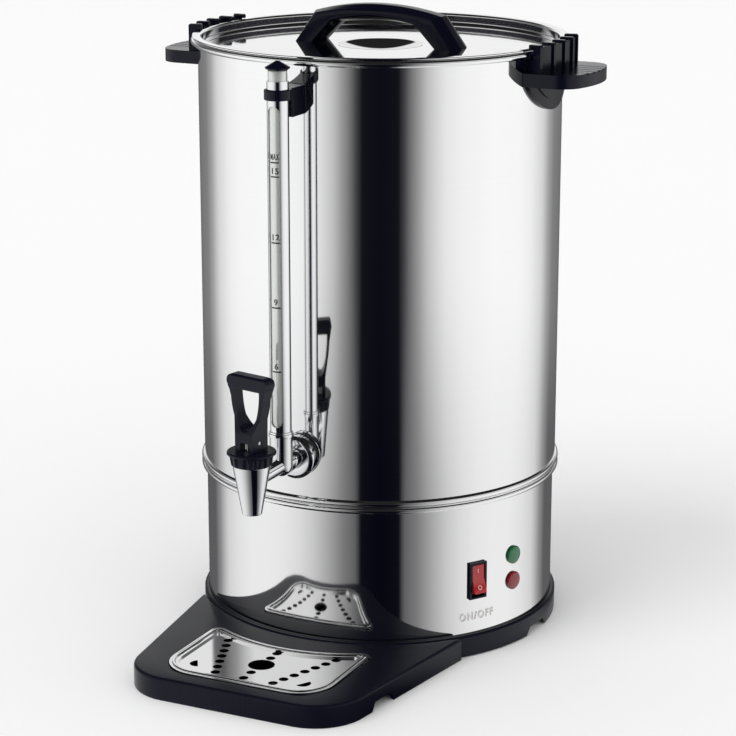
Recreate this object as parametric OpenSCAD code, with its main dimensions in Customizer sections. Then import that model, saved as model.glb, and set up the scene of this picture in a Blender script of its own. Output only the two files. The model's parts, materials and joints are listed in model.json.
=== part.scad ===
// Coffee urn: polished tank on a lower housing, twist-lock lid, sight gauge,
// self-closing tap, slide-out drip tray and a percolator set inside.
// Millimetres, +Z up. Tap and tray face -Y, the side handles lie along X.
// The origin is on the floor, in the middle of the whole part's box.

/* [Tank] */
// Outer radius of the tank wall
tank_r = 140; // [125:1:160]
// Thickness of the tank sheet
tank_wall = 1; // [0.8:0.1:1.6]
// Height of the tank from its underside to its rim
tank_h = 335.5; // [300:0.5:380]
// Radius of the rolled bead round the rim
rim_bead_r = 2.8; // [2:0.1:3.5]
// Inner radius of the heating well in the tank floor
well_r = 25; // [23:1:30]
// Depth of the heating well
well_depth = 14; // [10:1:20]

/* [Lower housing] */
// Height of the housing between base ring and tank
skirt_h = 108; // [95:1:130]
// Thickness of the housing sheet
skirt_wall = 0.9; // [0.7:0.1:1.4]
// How far the housing stands back from the tank wall
skirt_step = 1.7; // [0.8:0.1:3]
// Radius of the two beads where tank and housing meet
bead_r = 2.6; // [2:0.1:3.2]
// How far the beads stand out from the tank wall
bead_proud = 2.4; // [1.6:0.1:3]
// Width of the shelf inside the housing that carries the tank
shelf_w = 8; // [6:0.5:12]

/* [Base] */
// Height of the base ring and drip tray
base_h = 17.5; // [15:0.5:24]
// How far the base ring stands out from the housing
ring_proud = 3.7; // [3:0.1:6]
// Wall thickness of the base ring
ring_wall = 3.2; // [2.6:0.1:4]
// Depth of the groove that takes the housing's lower edge
ring_groove = 6; // [4:0.5:8]
// Thickness of the ring's inner shelf
ring_shelf = 3; // [2.5:0.5:5]
// Width of the ring's inner shelf
ring_shelf_w = 14; // [10:1:18]
// Width of the arch cut under the ring on each side
arch_w = 32; // [20:1:45]
// Height of the arch cut
arch_h = 7; // [4:0.5:9]
// Angle from the front to the middle of an arch
arch_a = 86.5; // [80:0.5:100]
// Thickness of the bottom cover
cover_t = 1.6; // [1:0.1:2]
// Radius of a rubber foot
foot_r = 10; // [7:0.5:14]
// How far the feet stand below the base ring
foot_proud = 1; // [0.6:0.1:2]

/* [Drip tray] */
// How far the tray reaches in front of the base ring
tray_out = 117; // [105:1:140]
// Angle from the front at which the tray's ends meet the ring
tray_end_a = 50; // [46:1:56]
// Width of the tray's blunt ends
tray_tip = 4; // [3:0.5:8]
// Half width of the tray along its front edge, corners included
tray_half_front = 88.5; // [82:0.5:100]
// Radius of the tray's front corners
tray_corner_r = 40; // [25:1:50]
// Wall thickness of the tray
tray_wall = 2.5; // [2:0.1:3.5]
// Gap between tray and base ring
tray_gap = 0.4; // [0.3:0.1:0.8]
// Distance of a side finger notch behind the tray's front
notch_y = 62; // [50:1:70]
// Width of a side finger notch
notch_w = 28; // [20:1:34]
// Height of a side finger notch
notch_h = 7; // [4:0.5:8]
// Width of a locating tongue
tongue_w = 24; // [16:1:30]
// Thickness of a locating tongue
tongue_t = 3; // [2:0.5:3.5]

/* [Drip grid] */
// Half width of the grid
grid_half_w = 67; // [62:0.5:72]
// Distance from the tray's front edge to the grid
grid_margin = 15; // [12:0.5:22]
// Length of the grid along its middle
grid_len = 75; // [65:0.5:80]
// Radius of the hollow arc at the grid's back
grid_back_r = 117; // [110:1:170]
// Radius of the grid's front corners
grid_corner_r = 28; // [18:1:34]
// Radius of the grid's back corners
grid_ear_r = 6; // [4:0.5:9]
// Thickness of the grid sheet
grid_t = 1.2; // [0.8:0.1:1.6]
// Width of the grid's raised border
grid_border = 7; // [5:0.5:8]
// Height of the raised border above the sheet
grid_border_h = 1.4; // [0.8:0.1:2]
// Width of the ledge that carries the grid
grid_ledge = 4; // [3:0.5:6]
// Radius of the big drain hole
drain_r = 10; // [7:0.5:10]
// Radius of a small drain hole
hole_r = 3.6; // [2.5:0.1:3.8]

/* [Lid] */
// Thickness of the lid sheet
lid_sheet = 1; // [0.8:0.1:1.4]
// Depth of the lid's sunk floor
lid_sink = 8.3; // [6:0.1:12]
// Gap between lid wall and tank wall, filled by the seal
lid_gap = 1.2; // [1.2:0.1:2.5]
// How far the lid's flange reaches past the tank wall
lid_flange = 4.3; // [3.5:0.1:5]
// Radius of the finger dish in the lid
dish_r = 33; // [26:1:40]
// Depth of the finger dish
dish_depth = 6.5; // [3:0.5:8]

/* [Lid handle] */
// Half span of the lid handle over its feet
grip_foot_x = 70; // [62:1:80]
// Half span over its shoulders
grip_shoulder_x = 53; // [46:1:58]
// Height of its shoulders above the lid floor
grip_shoulder_z = 24; // [20:0.5:30]
// Height of its crown above the lid floor
grip_crown_z = 31; // [27:0.5:38]
// Thickness of the arch
grip_t = 12; // [10:0.5:15]
// Width of the arch from front to back
grip_w = 29; // [22:1:34]
// Half width of the arch's flat faces
grip_flat = 5; // [3:0.5:9]

/* [Side handles] */
// Reach of the handle's plate from the tank wall
plate_reach = 39; // [34:1:46]
// Half width of the plate
plate_half_w = 40; // [39:1:46]
// Radius of the plate's outer corners
plate_corner_r = 18; // [10:1:22]
// Radius of the plate's bowed end
plate_end_r = 90; // [70:1:140]
// Thickness of the plate
plate_t = 10; // [7:0.5:14]
// Depth of the plate's top below the rim
plate_drop = 16.5; // [12:0.5:22]
// Angle between neighbouring hook fins
fin_pitch_a = 7; // [6.5:0.1:7.2]
// Thickness of a hook fin
fin_t = 3.2; // [2:0.1:3.6]
// Depth of the hook comb from front face to back
comb_t = 6.1; // [5:0.1:8]
// Height of the hooks above the rim
hook_h = 4.4; // [4:0.1:7]
// How far a nose reaches in over the rim
nose_in = 4.4; // [3.5:0.1:5]
// Radius of the fixing tab below the plate
tab_r = 44; // [36:1:50]
// How far the tab hangs below the plate
tab_drop = 21; // [18:0.5:30]
// Thickness of the fixing tab
tab_t = 3.4; // [2.6:0.1:5]

/* [Sight gauge] */
// Distance from the tank wall to the gauge's axis
gauge_out = 28.5; // [22:0.5:34]
// Outer radius of the metal guard tube
guard_r = 8; // [7:0.1:9.5]
// Wall of the guard tube
guard_wall = 0.8; // [0.6:0.1:1.2]
// Wall of the glass tube
glass_wall = 1.4; // [1:0.1:2]
// Width of the window slot in the guard
window_w = 9.6; // [7:0.1:11]
// Depth of the guard's top below the rim
guard_drop = 13.2; // [10:0.1:20]
// Length of glass that shows above the guard
glass_show = 7.5; // [5:0.5:12]
// Height of the black cone on top
cone_h = 6.5; // [5:0.5:10]
// Radius of the black cone
cone_r = 9; // [8.5:0.1:11]
// Height of the bracket's block
bracket_h = 21; // [16:1:28]
// Width of the bracket's block
bracket_w = 15; // [11:0.5:20]
// Height of the bracket's clip ring
clip_h = 7.5; // [5:0.5:10]
// Wall of the bracket's clip ring
clip_wall = 1.9; // [1.4:0.1:3]

/* [Tap] */
// Distance from the tank wall to the nozzle's axis
tap_out = 74; // [66:0.5:84]
// Height of the tap's pipe above the tank's underside
pipe_rise = 37.5; // [32:0.5:50]
// Outer radius of the pipe between gauge and tap
pipe_r = 6; // [5:0.1:7]
// Bore radius of the pipe
pipe_bore = 3.5; // [2.5:0.1:4.2]
// Outer radius of the nozzle's tip
tip_r = 7.2; // [6.4:0.1:8]
// Outer radius of the nozzle's top
nozzle_r = 14; // [13:0.1:16]
// Length of the nozzle below the pipe's axis
nozzle_low = 24.2; // [20:0.1:30]
// Length of the nozzle above the pipe's axis
nozzle_high = 13.3; // [11:0.1:18]
// Radius of the bonnet's top flange
bonnet_r = 18; // [17:0.5:21]
// Height of the bonnet
bonnet_h = 10.6; // [9:0.1:14]
// Number of grip ribs round the bonnet
bonnet_ribs = 14; // [10:1:16]
// Height of the lever above the bonnet
lever_h = 56; // [50:0.5:64]
// Length of the lever's finger bar
bar_l = 37; // [32:0.5:42]
// Radius of the finger bar
bar_r = 5; // [4:0.1:6]
// Width of the lever's root block
root_w = 16.5; // [15:0.5:20]
// Height of the lever's root block
root_h = 15; // [14:0.5:18]
// Thickness of the loop's two arms
arm_t = 3.9; // [3:0.1:5]
// Angle that the lever is turned about the nozzle
lever_a = -12; // [-20:1:20]
// Radius of the stem
stem_r = 3.2; // [2.8:0.1:3.4]
// Radius of the lever's pin
pin_r = 1.6; // [1.2:0.1:2]
// Wire radius of the stem spring
spring_wire = 0.6; // [0.4:0.05:0.75]
// Number of turns of the stem spring
spring_turns = 5; // [3:1:5]
// Radius of the round wall nut
wall_nut_r = 16.5; // [14:0.5:20]
// Thickness of the round wall nut
wall_nut_t = 9; // [6:0.5:12]

/* [Controls] */
// Angle from the front to the switch
switch_a = 58; // [50:0.5:66]
// Height of the switch's middle above the base ring
switch_z = 42.5; // [36:0.5:60]
// Width of the switch's bezel
bezel_w = 15.5; // [14:0.5:20]
// Height of the switch's bezel
bezel_h = 29; // [28:0.5:34]
// Swing of the rocker from one side to the other
rocker_a = 24; // [18:1:26]
// Angle from the front to the lamps
lamp_a = 73.6; // [70:0.1:80]
// Height of the upper lamp above the base ring
lamp_z_high = 54.6; // [50:0.1:70]
// Height of the lower lamp above the base ring
lamp_z_low = 33.6; // [28:0.1:38]
// Radius of a lamp's lens
lens_r = 7.2; // [6:0.1:8]
// How far a lens stands out
lens_proud = 3; // [2:0.1:5]
// Width of the mains inlet's flange
inlet_w = 34; // [33:0.5:40]
// Height of the mains inlet's flange
inlet_h = 26; // [25:0.5:32]
// Height of the mains inlet's middle above the base ring
inlet_z = 34; // [28:1:60]

/* [Percolator set] */
// Radius of the coffee basket
basket_r = 112; // [95:1:118]
// Height of the coffee basket
basket_h = 44; // [36:1:60]
// Sheet thickness of basket and spreader
basket_t = 0.8; // [0.6:0.1:1.2]
// Outer radius of the riser tube
riser_r = 5; // [4.4:0.1:6]
// Wall of the riser tube
riser_wall = 0.8; // [0.6:0.1:1.2]
// Height of the pump foot
foot_h = 30; // [28:1:40]
// Travel of the loose pump valve
valve_lift = 3; // [2:0.5:4]

/* [Hidden] */
$fn = 96;

// Clearances and small allowances
eps = 0.01;
cut = 5;
slip = 0.3;
seat = 0.15;
running = 0.05;
bead_lap = 0.2;
bead_gap = 0.1;
lap = 1;
fine = 360;
small_fn = 16;

// Levels above the floor
skirt_top = base_h + skirt_h;
rim_top = skirt_top + tank_h;
lid_top = rim_top + lid_sheet;
lid_floor = lid_top - lid_sink;
tank_floor = skirt_top + tank_wall;
well_floor = tank_floor - well_depth;
pipe_z = skirt_top + pipe_rise;

// Radii and reaches from the tank's axis
tank_in = tank_r - tank_wall;
rim_r = tank_r + 2 * rim_bead_r - bead_lap;
skirt_r = tank_r - skirt_step;
skirt_in = skirt_r - skirt_wall;
bead_c = tank_r + bead_proud - bead_r;
ring_r = skirt_r + ring_proud;
ring_lip = skirt_r + slip;
ring_in = ring_r - ring_wall;
tray_reach = ring_r + tray_out;
urn_y = (tray_reach - rim_r) / 2;

// Base ring, cover, feet and screws
groove_z = base_h - ring_groove;
shelf_z = groove_z - ring_shelf;
cover_z = shelf_z - cover_t;
cover_r = ring_in - slip;
ring_shelf_in = skirt_r - ring_shelf_w;
screw_r = 1.75;
screw_head_r = 3.4;
screw_head_h = 2;
cover_screw_c = (ring_shelf_in + skirt_in) / 2;
screw_short = 0.2;
foot_edge = 2;
foot_c = ring_shelf_in - foot_r - foot_edge;
foot_round = 1;
foot_taper = 0.6;
foot_angles = [45, 135, 225, 315];
cover_screw_angles = [30, 90, 150, 210, 270, 330];
vent_l = 24;
vent_w = 5;
vent_c = foot_c - foot_r - vent_l + foot_edge;
vent_angles = [0:30:330];
ring_bevel = 1.4;
arch_slope = 0.7;

// Drip tray
tray_arc = ring_r + tray_gap;
tray_deck = 2.5;
tray_floor_t = 2;
tray_foot = 3;
tongue_a = 22;
notch_reach = 50;
tongue_in = 5;
tongue_x = tray_arc * sin(tongue_a);
tongue_rise = 0.8;
tongue_z = foot_proud + tongue_rise;
notch_end = 8;

// Drip grid
grid_front = tray_reach - grid_margin;
grid_back = grid_front - grid_len;
grid_arc_y = grid_back - grid_back_r;
grid_z = base_h - grid_t - slip;
drain_y = grid_front - 41;
middle_holes = [24.6, 14.4, -16, -27.6];
column_back = [46, grid_back + 2];
column_front = [24, grid_front - 14];
column_holes = 7;
side_hole = [44, grid_front - 23];
side_hole_r = 6;
side_hole_a = 30;
mark_w = 4;
mark_t = 2.4;
mark_in = 4;
mark_back = 2.8;

// Lid and its seal
lid_wall_r = tank_in - lid_gap;
bend_clear = 0.2;
lid_bend = lid_gap + lid_sheet - bend_clear;
flange_r = tank_r + lid_flange;
seal_h = 5;
seal_top = rim_top - lid_bend - bend_clear;
nose_clear = 0.8;
notch_clear_a = 4.5;
lid_notch_a = 2 * fin_pitch_a + notch_clear_a;
lid_notch_r = rim_r - nose_in - nose_clear;

// Lid handle
grip_chamfer = 4;
grip_screw_x = grip_foot_x - 12;
grip_screw_r = 2;
grip_screw_l = 9;
grip_head_h = 2;
grip_leg = 22;
grip_knee = 0.6;
grip_stations = [2 / 3, 1 / 3, 0];

// Side handles
plate_top = rim_top - plate_drop;
plate_low = plate_top - plate_t;
plate_far = tank_r + plate_reach;
plate_root = tank_r - 3 * cut;
handle_gap = 0.2;
handle_in = tank_r + handle_gap;
comb_in = rim_r + nose_clear;
comb_out = comb_in + comb_t;
nose_r = rim_r - nose_in + nose_clear;
nose_gap = 0.4;
nose_low = lid_top + nose_gap;
hook_top = rim_top + hook_h;
fin_round = 1.6;
nose_round = 1;
panel_back = 1.4;
panel_drop = 1.6;
fin_step = 0.5;
clamp_top = rim_top - 2 * rim_bead_r - slip - handle_gap - slip;
clamp_a = 0.4;
tab_step_w = 8;
tab_step_t = 1;
tab_low = plate_low - tab_drop;
tab_c = tab_low + tab_r;
handle_screw_z = plate_low - tab_drop / 2;
handle_screw_a = 8;
handle_screw_r = 2;
handle_head_h = 2;
groove_w = 2;
groove_d = 1.2;
groove_pitch = 9;
groove_start = 3;

// Sight gauge
gauge_y = tank_r + gauge_out;
guard_in = guard_r - guard_wall;
glass_r = guard_in - handle_gap;
glass_in = glass_r - glass_wall;
guard_top = rim_top - guard_drop;
socket_top = pipe_z + 26.5;
socket_r = guard_r + 0.6;
socket_rib = 0.7;
socket_rib_h = 2.5;
socket_rib_z = socket_top - 4;
socket_seat = pipe_z + 9;
glass_low = socket_seat + 2.5;
glass_top = guard_top + glass_show;
window_low = socket_top + 4;
clip_z = guard_top - 13.5;
window_top = clip_z - 4;
bracket_low = clip_z + clip_h - bracket_h;
plug_h = 2.5;
cone_flare = 1.4;
cone_edge = 0.8;
cone_point = 1.6;
cone_round = 0.4;

// Tap
tap_y = tank_r + tap_out;
nozzle_tip = pipe_z - nozzle_low;
nozzle_top = pipe_z + nozzle_high;
tap_wall = 2.4;
pipe_end = 0.6;
valve_seat_z = pipe_z - pipe_bore - 4.5;
nozzle_slope = (nozzle_r - tip_r) / (nozzle_low + nozzle_high);
chamber_r = tip_r + nozzle_slope * (valve_seat_z - nozzle_tip) - tap_wall;
spout_r = tip_r - 1.8;
tip_round = 1.4;
bonnet_top = nozzle_top + bonnet_h;
bonnet_flange = 3;
bonnet_low_r = nozzle_r + 0.8;
bonnet_flare = 1.4;
bonnet_bevel = 0.8;
rib_cut_r = 2.4;
rib_cut_c = bonnet_low_r + 1.6;
spigot_h = 4.5;
spigot_r = nozzle_r - tap_wall;
bonnet_roof = 3;
pin_rise = 6.5;
pin_z = bonnet_top + pin_rise;
notch_top = 7;
arm_d = 4.4;
heel = 8.5;
loop_side = 3.2;
loop_z = lever_h - 2 * bar_r - 0.5;
loop_h = loop_z - root_h;
loop_a = bar_l / 2 - arm_t - loop_side;
arm_fill = 10;
bar_flare = 6;
lever_edge = 1.5;
lever_slot = 7.4;
tongue_thick = lever_slot - 0.8;
tongue_room = 1;
cup_r = chamber_r - 1.2;
cup_h = 7;
cup_edge = 0.6;
cup_floor = 2;
collar_t = 2;
stem_post = stem_r - 1;
spring_r = stem_r + 1 + spring_wire;
spring_end = 0.1;
spring_top = bonnet_top - bonnet_roof - spring_end;
spring_low = valve_seat_z + cup_h + collar_t + spring_end;
shank_r = 8;
shank_in = tank_in - 14;
washer_t = 1.5;
washer_r = wall_nut_r - washer_t;
inner_washer_t = 3;
lock_nut_r = washer_r - 1;
lock_nut_in = 3;
nut_bevel = 2;
nut_taper = 3;

// Controls
housing_in_w = bezel_w - 4;
housing_in_h = bezel_h - 3;
rocker_w = housing_in_w - 0.8;
rocker_pivot = 4;
rocker_half = housing_in_h / 2 - 2;
rocker_pin_r = 1.2;
rocker_out = 4.2;
rocker_dip = 2;
rocker_back = 4;
rocker_edge = 1;
bezel_t = 2;
bezel_gap = 0.3;
switch_depth = 16;
switch_back = 3;
switch_lip = 1;
switch_hole = 1.6;
lamp_shank_r = 4.6;
lamp_len = 14;
lens_soft = 2;
blade_x = 2;
blade = [0.8, 2.4];
lamp_nut_r = 7;
lamp_nut_t = 3.2;
lamp_nut_in = 3.6;
inlet_depth = 22;
inlet_flange = 3;
inlet_gap = 0.1;
inlet_lip = 3;
inlet_hole = 5;
pin_size = [2, 4];
pin_tail = 6;
pin_spots = [[-1, -2], [1, -2], [0, 2]];
inlet_cavity_w = inlet_w - 8;
inlet_cavity_h = inlet_h - 8;
inlet_cavity_d = 17;
inlet_pin_gap = 7;

// Heater
plate_in = well_r + tank_wall + 4;
plate_out = 88;
diffuser_t = 4;
element_c = 62;
element_r = 4.2;
element_sink = 1.6;
element_gap_a = 15;
element_z = skirt_top - diffuser_t - element_r + element_sink;
cold_end_l = 20;
terminal_r = 1.6;
terminal_l = 10;
disc_c = (plate_in + element_c - element_r) / 2;
disc_a = 60;
disc_h = 12;
disc_cap_r = 8.5;
disc_cap_h = 3;
disc_r = 7.5;
lug = [26, 7, 1.2];
button_r = 2.4;
button_h = 3;

// Percolator set
riser_in = riser_r - riser_wall;
riser_low = well_floor + foot_h - 10;
riser_top = lid_floor - dish_depth - lid_sheet - 4;
spreader_z = riser_top - 6;
basket_z = spreader_z - basket_h;
collar_r = riser_r + 3;
collar_h = 4;
foot_bell_r = well_r - 2;
inlet_slot_w = 6;
inlet_slot_h = 5;
valve_r = 10;
valve_t = 1.5;
valve_z = well_floor + 9;
bell_t = 1.2;
bell_edge = 4;
chamber_side = 3;
chamber_wall = 2;
valve_hole = 5;
valve_shelf = 1.5;
pierce_r = 1.5;
basket_rings = 4;
basket_spread = 4.6;
basket_short = 2;
spreader_rings = 3;
spreader_spread = 3.8;
spreader_lip = 5;

// Points on an arc from angle a0 to a1
function arc(c, r, a0, a1, n) =
    [for (i = [0:n]) c + r * [cos(a0 + (a1 - a0) * i / n), sin(a0 + (a1 - a0) * i / n)]];

// The same list from its end to its start
function turned(list) = [for (i = [len(list) - 1:-1:0]) list[i]];

// Moves a piece from the tank's axis to the part's own origin
module placed() {
    translate([0, urn_y, 0]) children();
}

// Turns a piece that is built facing the front to an angle round the tank
module at_angle(a) {
    rotate([0, 0, a]) children();
}

// Lays a piece built along +Z so that it points out of the wall, starting at reach y
module outward(y, z = 0) {
    translate([0, -y, z]) rotate([90, 0, 0]) children();
}

// Plain washer or tube standing on z
module tube(r_out, r_in, z, h) {
    translate([0, 0, z]) difference() {
        cylinder(r = r_out, h = h);
        translate([0, 0, -cut]) cylinder(r = r_in, h = h + 2 * cut);
    }
}

// Part of a ring, centred on +X
module sector(r_in, r_out, z, h, half_a) {
    rotate([0, 0, -half_a]) rotate_extrude(angle = 2 * half_a)
        translate([r_in, z]) square([r_out - r_in, h]);
}

// Slot along X with round ends, as a flat shape
module slot(l, w) {
    square([l - w, w], center = true);
    for (s = [-1, 1]) translate([s * (l - w) / 2, 0]) circle(d = w);
}

// Tank with its floor, heating well, lower bead and rolled rim
module tank() {
    color("silver") placed() difference() {
        rotate_extrude() {
            translate([tank_in, skirt_top]) square([tank_wall, tank_h]);
            translate([well_r, skirt_top]) square([tank_in + eps - well_r, tank_wall]);
            translate([well_r, well_floor - tank_wall]) square([tank_wall, well_depth + eps]);
            translate([0, well_floor - tank_wall]) square([well_r + eps, tank_wall]);
            translate([bead_c, skirt_top + bead_r + bead_gap]) circle(bead_r);
            translate([rim_r - rim_bead_r, rim_top - rim_bead_r - slip]) circle(rim_bead_r);
        }
        outward(tank_in - cut, pipe_z) cylinder(r = shank_r + seat, h = 2 * cut + tank_wall);
        for (side = [90, -90], s = [-1, 1]) at_angle(side + s * handle_screw_a)
            outward(tank_in - cut, handle_screw_z)
                cylinder(r = handle_screw_r + running, h = 2 * cut + tank_wall);
    }
}

// Sheet housing under the tank, with its bead and the shelf that carries the tank
module base_skirt() {
    color("gainsboro") placed() difference() {
        rotate_extrude() {
            translate([skirt_in, groove_z]) square([skirt_wall, skirt_top - groove_z - bead_r]);
            translate([bead_c, skirt_top - bead_r]) circle(bead_r);
            translate([skirt_r - shelf_w, skirt_top - skirt_wall])
                square([bead_c - skirt_r + shelf_w, skirt_wall]);
        }
        at_angle(switch_a) outward(skirt_in - cut, base_h + switch_z)
            translate([0, 0, cut])
                cube([bezel_w - switch_hole, bezel_h - switch_hole, 4 * cut], center = true);
        for (z = [lamp_z_low, lamp_z_high]) at_angle(lamp_a)
            outward(skirt_in - cut, base_h + z) cylinder(r = lamp_shank_r + seat, h = 3 * cut);
        at_angle(180) outward(skirt_in - cut, base_h + inlet_z)
            translate([0, 0, cut])
                cube([inlet_w - inlet_hole, inlet_h - inlet_hole, 4 * cut], center = true);
    }
}

// Moulded ring that the housing stands in
module base_ring() {
    color([0.13, 0.13, 0.15]) placed() difference() {
        rotate_extrude() polygon([
            [ring_in, foot_proud], [ring_r, foot_proud], [ring_r, base_h - ring_bevel],
            [ring_r - ring_bevel, base_h], [ring_lip, base_h], [ring_lip, groove_z],
            [ring_shelf_in, groove_z], [ring_shelf_in, shelf_z], [ring_in, shelf_z]]);
        for (s = [-1, 1]) at_angle(s * arch_a) outward(ring_in - cut, 0)
            linear_extrude(ring_wall + 2 * cut)
                polygon([[-arch_w / 2, -cut], [arch_w / 2, -cut], [arch_w / 2, foot_proud],
                    [arch_w / 2 - arch_h * arch_slope, arch_h],
                    [-arch_w / 2 + arch_h * arch_slope, arch_h],
                    [-arch_w / 2, foot_proud]]);
        for (s = [-1, 1]) translate([s * tongue_x - tongue_w / 2 - slip, -tray_reach, 0])
            cube([tongue_w + 2 * slip, tray_reach - cut, tongue_z + tongue_t + slip]);
        for (a = cover_screw_angles) at_angle(a) translate([0, -cover_screw_c, shelf_z - cut])
            cylinder(r = screw_r + running, h = ring_shelf + 2 * cut);
    }
}

// Pressed plate that closes the housing from below
module bottom_cover() {
    color("darkgray") placed() difference() {
        translate([0, 0, cover_z]) cylinder(r = cover_r, h = cover_t);
        for (a = cover_screw_angles) at_angle(a) translate([0, -cover_screw_c, cover_z - cut])
            cylinder(r = screw_r + running, h = 3 * cut);
        for (a = vent_angles) at_angle(a) translate([0, -vent_c, cover_z - cut])
            linear_extrude(3 * cut) rotate([0, 0, 90]) slot(vent_l, vent_w);
    }
}

// Four rubber feet under the cover
module rubber_feet() {
    color([0.1, 0.1, 0.1]) placed() for (a = foot_angles) at_angle(a) translate([0, -foot_c, 0])
        rotate_extrude() polygon([[0, 0], [foot_r - foot_round, 0], [foot_r, foot_round],
            [foot_r - foot_taper, cover_z], [0, cover_z]]);
}

// Screws that hold the cover to the ring
module cover_screws() {
    color("silver") placed() for (a = cover_screw_angles) at_angle(a) translate([0, -cover_screw_c, 0]) {
        translate([0, 0, cover_z - screw_head_h]) cylinder(r = screw_head_r, h = screw_head_h);
        translate([0, 0, cover_z - eps]) cylinder(r = screw_r, h = cover_t + ring_shelf - screw_short);
    }
}

// Plan of the drip tray, drawn in by i all round
module tray_plan(i) {
    end_y = -tray_arc * cos(tray_end_a) - i;
    end_x = tray_arc * sin(tray_end_a) + tray_tip;
    front = -tray_reach;
    run = [tray_half_front - end_x, front + tray_arc * cos(tray_end_a)];
    along = run / norm(run);
    inward = [along.y, -along.x];
    start = [end_x, -tray_arc * cos(tray_end_a)] + i * inward;
    r = tray_corner_r - i;
    first = start + along * (end_y - start.y) / along.y;
    reach = (front + tray_corner_r - start.y - r * inward.y) / along.y;
    c = start + r * inward + reach * along;
    right = concat([first], arc(c, r, atan2(-inward.y, -inward.x), -90, 16));
    difference() {
        polygon(concat(right, [for (q = turned(right)) [-q.x, q.y]]));
        circle(tray_arc + i);
    }
}

// Plan of the drip grid, drawn in by i all round
module grid_plan(i) {
    half = grid_half_w - i;
    r = grid_corner_r - i;
    ear = grid_ear_r - i / 2;
    back_r = grid_back_r + i;
    corner = [half - r, -grid_front + i + r];
    ear_c = [half - ear, -grid_arc_y - sqrt(pow(back_r + ear, 2) - pow(half - ear, 2))];
    lean = atan2(-grid_arc_y - ear_c.y, -ear_c.x);
    back_a = atan2(ear_c.y + grid_arc_y, ear_c.x);
    polygon(concat(
        arc([-corner.x, corner.y], r, 180, 270, 12),
        arc(corner, r, 270, 360, 12),
        arc(ear_c, ear, 0, lean, 8),
        arc([0, -grid_arc_y], back_r, back_a, -180 - back_a, 24),
        arc([-ear_c.x, ear_c.y], ear, 180 - lean, 180, 8)));
}

// Drip tray with its well, grid ledge, finger notches and locating tongues
module drip_tray() {
    color([0.12, 0.12, 0.14]) placed() difference() {
        union() {
            linear_extrude(base_h) difference() {
                tray_plan(0);
                tray_plan(tray_wall);
            }
            translate([0, 0, base_h - tray_deck]) linear_extrude(tray_deck) tray_plan(tray_wall / 2);
            translate([0, 0, tray_foot]) linear_extrude(base_h - tray_foot - tray_deck / 2)
                grid_plan(grid_ledge - tray_wall);
            for (s = [-1, 1]) translate([s * tongue_x - tongue_w / 2, -tray_arc - tray_wall, tongue_z])
                cube([tongue_w, tray_arc + tray_wall - ring_in * cos(tongue_a) + tongue_in, tongue_t]);
        }
        translate([0, 0, tray_foot + tray_floor_t]) linear_extrude(base_h) grid_plan(grid_ledge);
        translate([0, 0, grid_z]) linear_extrude(base_h) grid_plan(-slip);
        for (s = [-1, 1])
            translate([s * (grid_half_w + notch_reach), -tray_reach + notch_y, (notch_h - cut) / 2])
                cube([2 * notch_reach - notch_end, notch_w, notch_h + cut], center = true);
    }
}

// Pressed drain grid with a raised border
module drip_grid() {
    color("lightgray") placed() difference() {
        union() {
            translate([0, 0, grid_z]) linear_extrude(grid_t) grid_plan(0);
            translate([0, 0, grid_z + grid_t - eps]) linear_extrude(grid_border_h + eps) difference() {
                grid_plan(0);
                grid_plan(grid_border);
            }
        }
        translate([0, 0, grid_z - cut]) linear_extrude(3 * cut) {
            translate([0, -drain_y]) circle(drain_r);
            for (y = middle_holes) translate([0, -drain_y + y]) circle(hole_r, $fn = small_fn);
            for (s = [-1, 1], k = [0:column_holes - 1]) {
                p = column_back + (column_front - column_back) * k / (column_holes - 1);
                translate([s * p.x, -p.y]) circle(hole_r, $fn = small_fn);
            }
            for (s = [-1, 1]) translate([s * side_hole.x, -side_hole.y]) scale([s, 1])
                polygon(arc([0, 0], side_hole_r, -90 - side_hole_a, 90 - side_hole_a, 10));
            for (s = [-1, 1]) translate([s * (grid_half_w - mark_in), -drain_y])
                square([mark_t, mark_w], center = true);
            for (y = [grid_front - mark_in, grid_back + mark_back]) translate([0, -y])
                square([mark_w, mark_t], center = true);
        }
    }
}

// Upper outline of the lid's sheet, drawn in by o, from the middle to the flange
function lid_line(o) =
    let (ball = (dish_r * dish_r + dish_depth * dish_depth) / (2 * dish_depth),
        open = asin(dish_r / ball))
    concat(
        arc([0, lid_floor - dish_depth + ball], ball + o, -90, -90 + open, 8),
        arc([lid_wall_r - lid_sheet - lid_bend, lid_floor + lid_bend], lid_bend + o, -90, 0, 8),
        arc([lid_wall_r - lid_sheet + lid_bend, lid_top - lid_bend], lid_bend - o, 180, 90, 8),
        [[flange_r, lid_top - o]]);

// Spun lid with a sunk floor, a finger dish and notches that pass the hooks
module lid() {
    color("white") placed() difference() {
        rotate_extrude() polygon(concat(lid_line(0), turned(lid_line(lid_sheet))));
        for (a = [0, 180]) rotate([0, 0, a])
            sector(lid_notch_r, rim_r + cut, rim_top - cut, 3 * cut, lid_notch_a);
        for (s = [-1, 1]) translate([s * grip_screw_x, 0, lid_floor - cut])
            cylinder(r = grip_screw_r + running, h = 2 * cut);
    }
}

// Soft ring round the lid's wall
module lid_seal() {
    color("whitesmoke") placed()
        tube(tank_in - slip, lid_wall_r + running, seal_top - seal_h, seal_h);
}

// Eight-sided section of the lid handle between an outer and an inner point of the arch
function grip_section(outer, inner) =
    let (k = grip_chamfer * (inner - outer) / norm(inner - outer),
        w = grip_w / 2,
        n = grip_flat)
    [for (q = [[outer, -n], [outer, n], [outer + k, w], [inner - k, w],
        [inner, n], [inner, -n], [inner - k, -w], [outer + k, -w]])
        [q[0].x, q[1], lid_floor + q[0].y]];

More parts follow.
